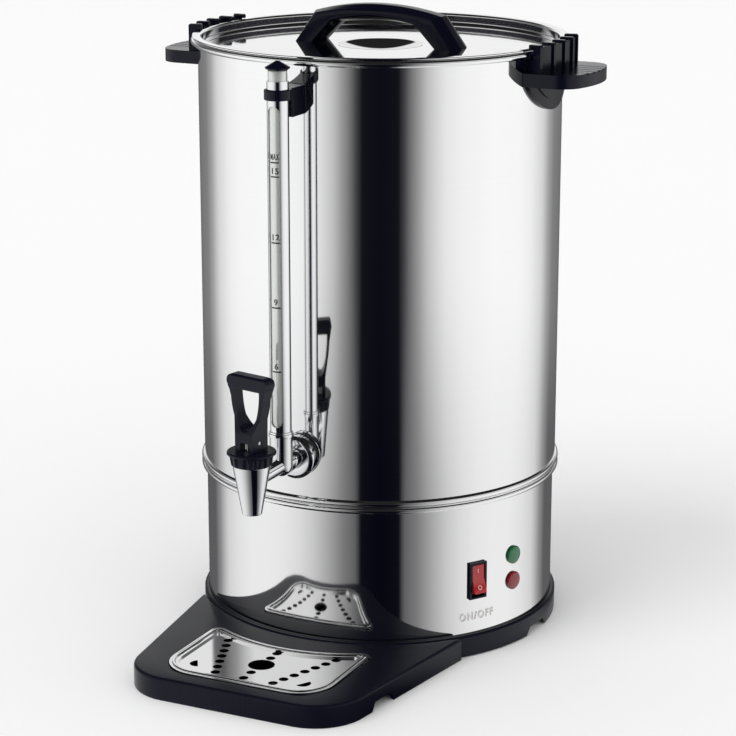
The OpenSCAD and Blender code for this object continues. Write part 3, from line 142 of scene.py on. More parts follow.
class Graph:
    """A material's or a world's node tree."""

    # Numbers of the Mix node's two colours and of its mixed colour
    MIX_COLOURS = (6, 7)
    MIX_RESULT = 2

    def __init__(self, tree: bpy.types.NodeTree) -> None:
        """Empties the tree."""
        self.tree = tree
        tree.nodes.clear()

    def node(self, kind: str, settings: Optional[dict[str, Any]] = None,
             sockets: Optional[dict[Any, Any]] = None, output: Any = 0) -> Value:
        """Adds a node.

        Args:
            kind: The node's type.
            settings: Its properties, set first; "stops" gives a ramp's positions and colours.
            sockets: Values or links of its inputs by name or number.
            output: Name or number of the output to return.

        Returns:
            The chosen output.
        """
        node = self.tree.nodes.new(kind)
        for key, value in (settings or {}).items():
            if key == "stops":
                self._stops(node.color_ramp, value)
            else:
                setattr(node, key, value)
        for key, value in (sockets or {}).items():
            if isinstance(value, Value):
                self.tree.links.new(value.socket, node.inputs[key])
            else:
                node.inputs[key].default_value = value
        return Value(self, node.outputs[output] if node.outputs else None)

    @staticmethod
    def _stops(ramp: bpy.types.ColorRamp, stops: Sequence[tuple[float, Sequence[float]]]) -> None:
        """Sets a ramp's stops.

        Args:
            ramp: The ramp.
            stops: Positions and colours in rising order.
        """
        while len(ramp.elements) < len(stops):
            ramp.elements.new(1.0)
        for element, (position, colour) in zip(ramp.elements, stops):
            element.position = position
            element.color = colour

    def place(self, scale: Sequence[float] = (1.0, 1.0, 1.0)) -> Value:
        """Object coordinates about the tank's axis, stretched by a scale.

        Args:
            scale: Factor of each coordinate, per metre.

        Returns:
            The vector output.
        """
        here = self.node("ShaderNodeTexCoord", output="Object")
        return self.node("ShaderNodeMapping", None, {
            "Vector": here, "Location": [0.0, -AXIS_Y * MM * scale[1], 0.0], "Scale": list(scale)})

    def noise(self, where: Value, scale: float = 1.0, detail: float = 2.0, rough: float = 0.5) -> Value:
        """Noise from 0 to 1.

        Args:
            where: Coordinates.
            scale: Cells per metre.
            detail: Octaves.
            rough: Strength of the finer octaves.

        Returns:
            The factor output.
        """
        return self.node("ShaderNodeTexNoise", None, {
            "Vector": where, "Scale": scale, "Detail": detail, "Roughness": rough})

    def tint(self, factor: Value, low: "Colour", high: "Colour") -> Value:
        """Mixes two colours by a factor.

        Args:
            factor: Share of the second colour.
            low: Colour at 0.
            high: Colour at 1.

        Returns:
            The mixed colour.
        """
        ends = [end if isinstance(end, Value) else [*end, 1.0] for end in (low, high)]
        return self.node("ShaderNodeMix", {"data_type": "RGBA"},
                         {0: factor, **dict(zip(self.MIX_COLOURS, ends))}, output=self.MIX_RESULT)

    def toned(self, factor: Value, colour: Sequence[float], tone: float) -> Value:
        """Runs a colour from darker to lighter by a share, at most to 1.

        Args:
            factor: 0 where it is darkest, 1 where it is lightest.
            colour: The colour.
            tone: The share.

        Returns:
            The toned colour.
        """
        low, high = ([min(1.0, c * share) for c in colour] for share in (1.0 - tone, 1.0 + tone))
        return self.tint(factor, low, high)

    def rise(self, value: Value, start: float, stop: float) -> Value:
        """A smooth step from 0 at start to 1 at stop."""
        return self.node("ShaderNodeMapRange", {"interpolation_type": "SMOOTHSTEP"}, {
            "Value": value, "From Min": start, "From Max": stop})

    def bump(self, height: Value, strength: float, distance: float) -> Value:
        """A normal from a height.

        Args:
            height: Height from 0 to 1.
            strength: How much of the bump shows.
            distance: Height of 1 in metres.

        Returns:
            The normal output.
        """
        return self.node("ShaderNodeBump", None, {
            "Strength": strength, "Distance": distance, "Height": height}, output="Normal")


def painted(name: str, surface: Callable[[Graph], Value]) -> bpy.types.Material:
    """Makes a material.

    Args:
        name: Its name.
        surface: Adds its nodes and gives the output of its surface.

    Returns:
        The material.
    """
    made = bpy.data.materials.new(name)
    made.use_nodes = True
    graph = Graph(made.node_tree)
    graph.node("ShaderNodeOutputMaterial", None, {"Surface": surface(graph)})
    return made


# -------------------------------------------------------------------- finishes

class Lay(Enum):
    """Direction in which a metal's fine lines run."""

    AROUND = (2.0, 2.0, 420.0)
    ALONG = (420.0, 420.0, 3.0)
    CLOUDY = (60.0, 60.0, 60.0)


@dataclass(frozen=True)
class Metal:
    """Bare or plated metal with fine lines, faint clouds and hairline wear."""

    colour: tuple[float, float, float]
    rough: float
    lay: Lay = Lay.AROUND
    line: float = 0.03
    tone: float = 0.03
    depth: float = 0.00001
    cloud: float = 14.0
    hair: tuple[float, float, float] = (900.0, 900.0, 90.0)
    hair_from: float = 0.62
    least: float = 0.02
    raised: float = 0.7
    bump: float = 0.25

    def surface(self, graph: Graph) -> Value:
        """Lines and clouds in tone, roughness and normal; hairlines in the roughness.

        Args:
            graph: The material's graph.

        Returns:
            The surface.
        """
        lines = graph.noise(graph.place(self.lay.value), detail=4.0, rough=0.6)
        cloud = graph.noise(graph.place(), self.cloud, 3.0)
        hair = graph.noise(graph.place(self.hair))
        even = self.rough - 0.25 * self.line
        rough = (lines - 0.5) * (2.0 * self.line) + (cloud - 0.5) * self.line + even
        rough = rough + ((hair - self.hair_from) * (2.0 * self.line)).over(0.0)
        return graph.node("ShaderNodeBsdfPrincipled", None, {
            "Metallic": 1.0, "Base Color": graph.toned(lines * 0.5 + cloud * 0.5, self.colour, self.tone),
            "Roughness": rough.over(self.least),
            "Normal": graph.bump(lines * self.raised + cloud * (1.0 - self.raised), self.bump, self.depth)})


@dataclass(frozen=True)
class Moulding:
    """Moulded plastic or rubber with a fine grain, slow tone changes and scuffs."""

    colour: tuple[float, float, float]
    rough: float
    grain: float = 900.0
    depth: float = 0.00002
    tone: float = 0.12
    coat: float = 0.0
    see_through: float = 0.0
    sheen: float = 0.5
    cloud: float = 22.0
    scuff: tuple[float, float, float] = (60.0, 420.0, 60.0)
    scuff_from: float = 0.6
    least: float = 0.03
    grain_rough: float = 0.10
    cloud_rough: float = 0.08
    scuff_rough: float = 0.4
    grain_tone: float = 0.4
    coat_rough: float = 0.05
    ior: float = 1.49
    bump: float = 0.35

    def surface(self, graph: Graph) -> Value:
        """Grain in tone, roughness and normal; clouds in tone and roughness; scuffs in the roughness.

        Args:
            graph: The material's graph.

        Returns:
            The surface.
        """
        grain = graph.noise(graph.place(), self.grain)
        cloud = graph.noise(graph.place(), self.cloud, 3.0)
        scuff = graph.noise(graph.place(self.scuff), detail=3.0)
        rough = (grain - 0.5) * self.grain_rough + (cloud - 0.5) * self.cloud_rough + self.rough
        rough = rough + ((scuff - self.scuff_from) * self.scuff_rough).over(0.0)
        share = cloud * (1.0 - self.grain_tone) + grain * self.grain_tone
        return graph.node("ShaderNodeBsdfPrincipled", None, {
            "Base Color": graph.toned(share, self.colour, self.tone), "Roughness": rough.over(self.least),
            "Coat Weight": self.coat, "Coat Roughness": self.coat_rough, "IOR": self.ior,
            "Transmission Weight": self.see_through, "Specular IOR Level": self.sheen,
            "Normal": graph.bump(grain, self.bump, self.depth)})


@dataclass(frozen=True)
class Glass:
    """Drawn tube with faint lengthwise lines and a thin film inside that mirrors a little."""

    colour: tuple[float, float, float]
    clear: float
    mirror: float
    draw: tuple[float, float, float] = (500.0, 500.0, 6.0)
    cloud: float = 40.0
    film: float = 0.97
    rough: tuple[float, float] = (0.01, 0.04)
    ior: float = 1.47
    bump: float = 0.1
    depth: float = 0.00001

    def surface(self, graph: Graph) -> Value:
        """Lengthwise lines in roughness and normal; clouds in the tone.

        Args:
            graph: The material's graph.

        Returns:
            The surface.
        """
        draw = graph.noise(graph.place(self.draw))
        cloud = graph.noise(graph.place(), self.cloud)
        least, more = self.rough
        return graph.node("ShaderNodeBsdfPrincipled", None, {
            "Base Color": graph.tint(cloud, [c * self.film for c in self.colour], self.colour),
            "Roughness": draw * more + least, "Transmission Weight": self.clear, "Metallic": self.mirror,
            "IOR": self.ior, "Normal": graph.bump(draw, self.bump, self.depth)})


FINISHES: dict[str, Union[Metal, Moulding, Glass]] = {
    "polished_steel": Metal((0.95, 0.95, 0.95), 0.06, Lay.AROUND, 0.02, 0.02),
    "pressed_steel": Metal((0.93, 0.93, 0.93), 0.07, Lay.CLOUDY, 0.01, 0.02, 0.000002),
    "zinc_steel": Metal((0.62, 0.62, 0.63), 0.34, Lay.CLOUDY, 0.08, 0.08),
    "spring_steel": Metal((0.52, 0.52, 0.54), 0.28, Lay.ALONG, 0.06, 0.06),
    "chrome": Metal((0.88, 0.89, 0.90), 0.06, Lay.CLOUDY, 0.02, 0.01),
    "black_gloss": Moulding((0.0024, 0.0030, 0.0100), 0.20, 700.0, 0.00001, 0.15, sheen=0.24),
    "black_satin": Moulding((0.0042, 0.0050, 0.0125), 0.30, 1100.0, 0.00003, 0.15, sheen=0.22),
    "red_rocker": Moulding((0.42, 0.012, 0.016), 0.20, 800.0, 0.00001, 0.10, coat=0.5, see_through=0.15),
    "green_lens": Moulding((0.010, 0.16, 0.055), 0.12, 500.0, 0.00004, 0.20, coat=0.6, see_through=0.35),
    "red_lens": Moulding((0.26, 0.010, 0.012), 0.12, 500.0, 0.00004, 0.20, coat=0.6, see_through=0.35),
    "white_plastic": Moulding((0.78, 0.78, 0.75), 0.40, 900.0, 0.00002, 0.03),
    "clear_glass": Glass((0.82, 0.85, 0.82), 0.3, 0.5),
    "silicone": Moulding((0.72, 0.72, 0.69), 0.55, 700.0, 0.00003, 0.04),
    "black_rubber": Moulding((0.018, 0.018, 0.018), 0.65, 500.0, 0.00006, 0.2),
    "brass": Metal((0.70, 0.52, 0.24), 0.26, Lay.ALONG, 0.06, 0.08),
    "aluminium": Metal((0.72, 0.72, 0.73), 0.32, Lay.AROUND, 0.08, 0.05),
    "element_sheath": Metal((0.26, 0.25, 0.24), 0.42, Lay.CLOUDY, 0.10, 0.15),
    "phenolic": Moulding((0.09, 0.045, 0.026), 0.35, 600.0, 0.00003, 0.2),
    "ink": Moulding((0.012, 0.012, 0.013), 0.45, 1500.0, 0.00001, 0.1),
    # Dark grey of the layer that paints the shadow of the pressed switch words
    "mark_shade": Moulding((0.16, 0.16, 0.17), 0.50, 1500.0, 0.00001, 0.1),
    "rocker_mark": Moulding((0.62, 0.44, 0.44), 0.40, 1500.0, 0.00001, 0.05),
    # Pale grey of the layer that paints the highlight on the pressed switch words
    "pale_mark": Moulding((0.72, 0.70, 0.68), 0.40, 1500.0, 0.00001, 0.05),
}


class Paintbox:
    """Makes each finish once and knows every node's slot and body."""

    def __init__(self, record: dict[str, Any]) -> None:
        """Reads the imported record.

        Args:
            record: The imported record.
        """
        self.made: dict[str, bpy.types.Material] = {}
        self.slots = {s["node"]: s["material_slot"] for s in record["subparts"]}
        bodies = record["behaviour"]["bodies"]
        self.bodies = {node: body for body, nodes in bodies.items() for node in nodes}

    def finish(self, name: str) -> bpy.types.Material:
        """The material of a finish, made on first use.

        Args:
            name: Key in FINISHES.

        Returns:
            The material.
        """
        if name not in self.made:
            self.made[name] = painted(name, FINISHES[name].surface)
        return self.made[name]


# -------------------------------------------------------------------- geometry

@dataclass(frozen=True)
class Seat:
    """A place on the urn with its own directions, in millimetres from the tank's axis."""

    origin: tuple[float, float, float]
    across: tuple[float, float, float] = (1.0, 0.0, 0.0)
    up: tuple[float, float, float] = (0.0, 1.0, 0.0)
    out: tuple[float, float, float] = (0.0, 0.0, 1.0)

    @staticmethod
    def upright(y: float = 0.0) -> "Seat":
        """A seat on the middle plane whose third direction is straight up."""
        return Seat((0.0, y, 0.0))

    @staticmethod
    def outward(angle: float, reach: float, z: float) -> "Seat":
        """A seat that faces out of the wall.

        Args:
            angle: Degrees from the front, to the right.
            reach: Distance from the tank's axis.
            z: Height above the floor.

        Returns:
            The seat: across is to the right, up is up and out is away from the axis.
        """
        a = math.radians(angle)
        return Seat((reach * math.sin(a), -reach * math.cos(a), z),
                    (math.cos(a), math.sin(a), 0.0), (0.0, 0.0, 1.0), (math.sin(a), -math.cos(a), 0.0))

    def at(self, points: np.ndarray) -> np.ndarray:
        """Local points in the urn's directions: origin + a across + b up + c out."""
        return np.asarray(self.origin) + points @ np.array([self.across, self.up, self.out])


def rounded(points: Sequence[Sequence[float]], cuts: Union[float, Sequence[float]],
            steps: int = 5) -> np.ndarray:
    """Rounds the corners of a closed polygon with quadratic curves.

    A corner P with unit directions a and b to its neighbours becomes
    (1-t)^2 (P + c a) + 2 t (1-t) P + t^2 (P + c b), with t from 0 to 1.

    Args:
        points: The corners.
        cuts: Distance c at which a rounding starts, for all corners or each.
        steps: Spans of a rounding.

    Returns:
        The rounded polygon's points.
    """
    p = np.asarray(points, float)
    before, after = np.roll(p, 1, 0) - p, np.roll(p, -1, 0) - p
    la, lb = (np.linalg.norm(d, axis=1, keepdims=True) for d in (before, after))
    wanted = np.broadcast_to(np.asarray(cuts, float), len(p))[:, None]
    c = np.minimum(wanted, 0.49 * np.minimum(la, lb))
    start, stop = (p + before / la * c)[:, None], (p + after / lb * c)[:, None]
    t = np.linspace(0.0, 1.0, steps + 1)[None, :, None]
    curve = (1.0 - t) ** 2 * start + 2.0 * t * (1.0 - t) * p[:, None] + t ** 2 * stop
    return curve.reshape(-1, p.shape[1])


def arc(centre: Sequence[float], radius: float, first: float, last: float, count: int) -> np.ndarray:
    """Points on an arc: centre + radius (cos a, sin a), with a from first to last degrees."""
    a = np.radians(np.linspace(first, last, count + 1))
    return np.asarray(centre) + radius * np.stack([np.cos(a), np.sin(a)], axis=1)


def spun(profile: np.ndarray, seat: Seat, angles: Optional[np.ndarray] = None,
         steps: int = 96) -> np.ndarray:
    """Turns a profile about a seat's third direction.

    P(a, k) = origin + r_k cos(a) across + r_k sin(a) up + h_k out.

    Args:
        profile: Radii and heights, k by 2.
        seat: Where and about what it turns.
        angles: Angles in radians, or a full turn in equal steps.
        steps: Number of those steps.

    Returns:
        The lattice, angles by k by 3.
    """
    a = (np.arange(steps) * TURN / steps if angles is None else angles)[:, None]
    r, h = np.asarray(profile, float).T
    return seat.at(np.stack([np.cos(a) * r, np.sin(a) * r, np.broadcast_to(h, (len(a), len(h)))], -1))


def placed(mesh: bpy.types.Mesh, crease: float) -> bpy.types.Object:
    """Puts a mesh into the scene with smooth shading.

    Args:
        mesh: The mesh.
        crease: Degrees past which an edge stays sharp.

    Returns:
        The object.
    """
    mesh.shade_smooth()
    mesh.set_sharp_from_angle(angle=math.radians(crease))
    made = bpy.data.objects.new(mesh.name, mesh)
    bpy.context.scene.collection.objects.link(made)
    return made


class Skin:
    """Lattices and flat shapes that become one piece."""

    # Points closer than this are one, and shorter edges go, in metres
    MERGE = 2e-6
    SLIVER = 1e-6

    def __init__(self, name: str) -> None:
        """Starts an empty piece.

        Args:
            name: Name of the piece.
        """
        self.name = name
        self.points: list[np.ndarray] = []
        self.faces: list[tuple[int, ...]] = []
        self.count = 0

    def lattice(self, p: np.ndarray, around: bool = False, along: bool = False,
                keep: Optional[np.ndarray] = None) -> "Skin":
        """Adds the quads between the points of a grid.

        Args:
            p: Points, u by v by 3.
            around: Joins the last u to the first.
            along: Joins the last v to the first.
            keep: Which quads stay, if not all.

        Returns:
            The skin itself.
        """
        rows = np.arange(p.shape[0] * p.shape[1]).reshape(p.shape[:2]) + self.count
        rows = np.vstack([rows, rows[:1]]) if around else rows
        rows = np.hstack([rows, rows[:, :1]]) if along else rows
        quads = np.stack([rows[:-1, :-1], rows[1:, :-1], rows[1:, 1:], rows[:-1, 1:]], -1)
        quads = quads.reshape(-1, 4) if keep is None else quads[keep]
        self.points.append(p.reshape(-1, 3))
        self.faces.extend(map(tuple, quads.tolist()))
        self.count += p.shape[0] * p.shape[1]
        return self

    def turned(self, profile: np.ndarray, seat: Seat, steps: int = 96, closed: bool = True) -> "Skin":
        """Adds a profile turned full circle; closed joins the profile's ends."""
        return self.lattice(spun(profile, seat, None, steps), True, closed)

    def loft(self, loops: np.ndarray, capped: bool = True) -> "Skin":
        """Adds a skin over closed loops in order.

        Args:
            loops: Points, loop by point by 3.
            capped: Draws the first and last loop together to their middles.

        Returns:
            The skin itself.
        """
        if capped:
            ends = [np.broadcast_to(loop.mean(0), loop.shape)[None] for loop in (loops[0], loops[-1])]
            loops = np.concatenate([ends[0], loops, ends[1]])
        return self.lattice(loops, False, True)

    def flat(self, points: np.ndarray, faces: Sequence[Sequence[int]]) -> "Skin":
        """Adds points with faces of any size.

        Args:
            points: Points, n by 3.
            faces: Point numbers of each face.

        Returns:
            The skin itself.
        """
        self.points.append(points)
        self.faces.extend(tuple(i + self.count for i in face) for face in faces)
        self.count += len(points)
        return self

    def build(self, crease: float = CREASE, clean: bool = True) -> bpy.types.Object:
        """Makes the mesh object, closed, with its faces outwards.

        Args:
            crease: Degrees past which an edge stays sharp.
            clean: Merges doubles and turns the faces outwards.

        Returns:
            The object.
        """
        mesh = bpy.data.meshes.new(self.name)
        points = (np.concatenate(self.points) + [0.0, AXIS_Y, 0.0]) * MM
        mesh.from_pydata(points.tolist(), [], self.faces)
        if clean:
            work = bmesh.new()
            work.from_mesh(mesh)
            bmesh.ops.remove_doubles(work, verts=work.verts, dist=self.MERGE)
            bmesh.ops.dissolve_degenerate(work, edges=work.edges, dist=self.SLIVER)
            bmesh.ops.recalc_face_normals(work, faces=work.faces)
            work.to_mesh(mesh)
            work.free()
        return placed(mesh, crease)


def welded(node: str, bevel: float) -> bpy.types.Object:
    """A closed, smooth copy of a solid's loose triangles, with its sharp edges rounded.

    Points that agree to a thousandth of a millimetre become one, and flat groups of triangles one face.

    Args:
        node: The solid.
        bevel: Width of the rounding in millimetres, or none.

    Returns:
        The object.
    """
    per_metre, flat = 1e6, math.radians(0.4)
    source = frame["nodes"][node].data
    points = np.empty(len(source.vertices) * 3)
    source.vertices.foreach_get("co", points)
    points = points.reshape(-1, 3)
    corners = np.empty(len(source.loops), int)
    source.loops.foreach_get("vertex_index", corners)
    _, first, index = np.unique(np.round(points * per_metre).astype(np.int64), axis=0,
                                return_index=True, return_inverse=True)
    faces = index.reshape(-1)[corners].reshape(-1, 3)
    faces = faces[(faces != np.roll(faces, 1, axis=1)).all(1)]
    mesh = bpy.data.meshes.new(node + "_skin")
    mesh.from_pydata(points[first].tolist(), [], faces.tolist())
    work = bmesh.new()
    work.from_mesh(mesh)
    bmesh.ops.dissolve_limit(work, angle_limit=flat, verts=work.verts, edges=work.edges)
    work.to_mesh(mesh)
    work.free()
    made = placed(mesh, CREASE)
    if bevel:
        edge = made.modifiers.new("edge", "BEVEL")
        edge.width, edge.segments = bevel * MM, 3
        edge.limit_method, edge.angle_limit = "ANGLE", math.radians(CREASE)
        edge.miter_outer, edge.use_clamp_overlap = "MITER_ARC", True
    return made


def lettering(words: str, size: float, bold: float, apart: float = 1.12,
              thick: float = 0.03) -> tuple[np.ndarray, list[tuple[int, ...]]]:
    """Filled characters as a mesh in their own plane.

    Args:
        words: The characters.
        size: Height of the font in millimetres.
        bold: Outward growth of the strokes in millimetres.
        apart: Spacing of the characters.
        thick: Height of the characters over their plane, to either side.

    Returns:
        Points and faces, centred on the origin, reading along the first direction.
    """
    curve = bpy.data.curves.new("characters", "FONT")
    curve.body, curve.size, curve.offset, curve.extrude = words, size, bold, thick
    curve.align_x, curve.align_y = "CENTER", "CENTER"
    curve.resolution_u, curve.space_character = 6, apart
    holder = bpy.data.objects.new("characters", curve)
    bpy.context.scene.collection.objects.link(holder)
    drawn = holder.evaluated_get(bpy.context.evaluated_depsgraph_get())
    mesh = bpy.data.meshes.new_from_object(drawn)
    points = np.empty(len(mesh.vertices) * 3)
    mesh.vertices.foreach_get("co", points)
    faces = [tuple(face.vertices) for face in mesh.polygons]
    bpy.data.objects.remove(holder)
    bpy.data.curves.remove(curve)
    bpy.data.meshes.remove(mesh)
    return points.reshape(-1, 3), faces


def wrapped(points: np.ndarray, centre_y: float, radius: float, angle: float, z: float) -> np.ndarray:
    """Bends a flat shape round an upright cylinder.

    x runs round it as the angle x / radius, y runs up and z stands out of it.

    Args:
        points: Flat points.
        centre_y: Distance of the cylinder's axis in front of the tank's.
        radius: Its radius.
        angle: Degrees from the front to the shape's middle.
        z: Height of its middle.

    Returns:
        The bent points.
    """
    a = math.radians(angle) + points[:, 0] / radius
    r = radius + points[:, 2]
    return np.stack([r * np.sin(a), -centre_y - r * np.cos(a), z + points[:, 1]], 1)


# --------------------------------------------------------------- sub-assemblies

@dataclass(frozen=True)
class Plan:
    """Levels and radii that several sub-assemblies share."""

    tank_r: float = 140.0
    base_h: float = 17.5
    skirt_r: float = 138.3
    skirt_top: float = 125.5
    rim_top: float = 461.0
    rim_r: float = 145.4
    lid_top: float = 462.0
    lid_floor: float = 453.7
    pipe_z: float = 163.0
    gauge_y: float = 168.5
    tap_y: float = 214.0


@dataclass
class Assembly:
    """A group of pieces that shares the paintbox and the plan."""

    paint: Paintbox
    plan: Plan

    def dress(self, piece: bpy.types.Object, *nodes: str, finish: str = "", body: str = "") -> None:
        """Gives a piece its finish, its body and the solids that it stands for.

        Args:
            piece: The piece.
            nodes: Solids that it replaces.
            finish: Finish, or that of the first solid's slot.
            body: Body that it rides on, or that of the first solid.
        """
        slot = finish or self.paint.slots[nodes[0]]
        piece.data.materials.append(self.paint.finish(slot))
        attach(piece, body or self.paint.bodies[nodes[0]])
        if nodes:
            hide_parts(*nodes)
        slot in self.paint.slots.values()
        LOG.info("%s: %d faces, %s", piece.name, len(piece.data.polygons), slot)

    def copies(self, **bevels: float) -> None:
        """Stands smooth copies in for solids, with edges rounded by the millimetres given for each."""
        for node, bevel in bevels.items():
            self.dress(welded(node, bevel), node)


@dataclass(frozen=True)
class Opening:
    """Opening in the housing: its middle and half width in degrees, its lower and its upper edge."""

    angle: float
    half: float
    low: float
    high: float


@dataclass
class Tank(Assembly):
    """Tank, lower housing and the base under it."""

    wall: float = 1.0
    well_r: float = 25.0
    well_floor: float = 112.5
    bead_r: float = 2.6
    bead_c: float = 139.8
    bead_gap: float = 0.1
    bead_sweep: float = 86.0
    rim_bead_r: float = 2.8
    rim_drop: float = 0.3
    rim_neck: float = 1.2
    rim_sweep: float = 157.0
    lid_room: float = 0.1
    floor_bend: float = 2.0
    well_bend: float = 1.0
    skirt_wall: float = 0.9
    skirt_neck: float = 2.1
    skirt_sweep: tuple[float, float] = (-125.0, 90.0)
    shelf_w: float = 8.0
    groove_z: float = 11.5
    levels: tuple[float, ...] = (30.0, 51.5, 56.0, 90.0, 110.0)
    openings: tuple[Opening, ...] = (Opening(58.0, 2.88, 46.3, 73.7), Opening(180.0, 6.02, 41.0, 62.0))
    steps: int = 240

    def tank_profile(self) -> np.ndarray:
        """Section of the tank: outer wall with both beads, rim, inner wall, floor and well.

        Returns:
            Radii and heights from the axis below to the axis above the floor.
        """
        p, w = self.plan, self.wall
        rim_c = [p.rim_r - self.rim_bead_r, p.rim_top - self.rim_bead_r - self.rim_drop]
        top, inner, floor = p.skirt_top, p.tank_r - w, p.skirt_top + w
        lip, bead_z = p.rim_top - self.lid_room, top + self.bead_r + self.bead_gap
        return np.concatenate([
            [[0.0, self.well_floor - w], [self.well_r + w, self.well_floor - w], [self.well_r + w, top],
             [self.bead_c, top]],
            arc([self.bead_c, bead_z], self.bead_r, -self.bead_sweep, self.bead_sweep, 14),
            [[p.tank_r, rim_c[1] - self.rim_neck]],
            arc(rim_c, self.rim_bead_r, -self.rim_sweep, self.rim_sweep, 22),
            [[p.tank_r, lip], [inner, lip], [inner, floor + self.floor_bend],
             [inner - self.floor_bend, floor], [self.well_r + self.well_bend, floor],
             [self.well_r, floor - self.well_bend],
             [self.well_r, self.well_floor], [0.0, self.well_floor]]])

    def skirt_profile(self) -> np.ndarray:
        """Section of the housing's sheet: outer wall with its bead, shelf and inner wall.

        Returns:
            Radii and heights of the closed section.
        """
        p, w = self.plan, self.skirt_wall
        rows = np.sort([*self.levels, *(z for gap in self.openings for z in (gap.low, gap.high))])
        wall, back = (np.stack([np.full(len(rows), r), z], 1)
                      for r, z in ((p.skirt_r, rows), (p.skirt_r - w, rows[::-1])))
        return np.concatenate([
            [[p.skirt_r, self.groove_z]], wall,
            [[p.skirt_r, p.skirt_top - self.bead_r - self.skirt_neck]],
            arc([self.bead_c, p.skirt_top - self.bead_r], self.bead_r, *self.skirt_sweep, 18),
            [[p.skirt_r - self.shelf_w, p.skirt_top], [p.skirt_r - self.shelf_w, p.skirt_top - w],
             [p.skirt_r - w, p.skirt_top - w]], back, [[p.skirt_r - w, self.groove_z]]])

    def skirt(self) -> bpy.types.Object:
        """Housing with the openings for the switch and the inlet left out of its lattice.

        Returns:
            The housing's sheet.
        """
        edges = [gap.angle + s * gap.half for gap in self.openings for s in (-1.0, 1.0)]
        degrees = np.unique(np.concatenate([np.arange(self.steps) * 360.0 / self.steps, edges]))
        profile = self.skirt_profile()
        r, z = profile.T
        grid = spun(profile, Seat.upright(), np.radians(degrees - 90.0))
        middle = (degrees + np.append(degrees[1:], degrees[0] + 360.0)) / 2.0
        height = (z + np.roll(z, -1)) / 2.0
        upright = np.isclose(r, np.roll(r, -1))
        keep = np.ones((len(degrees), len(profile)), bool)
        for gap in self.openings:
            level = (height > gap.low) & (height < gap.high) & upright
            keep &= ~((np.abs(middle - gap.angle) < gap.half)[:, None] & level)
        return Skin("housing_sheet").lattice(grid, True, True, keep).build()

    def build(self) -> None:
        """Builds and dresses the tank, its housing and the base."""
        shell = Skin("tank_shell").turned(self.tank_profile(), Seat.upright(), self.steps, False)
        self.dress(shell.build(), "tank")
        self.dress(self.skirt(), "base_skirt")
        self.copies(base_ring=0.5, bottom_cover=0.0, rubber_feet=0.4)


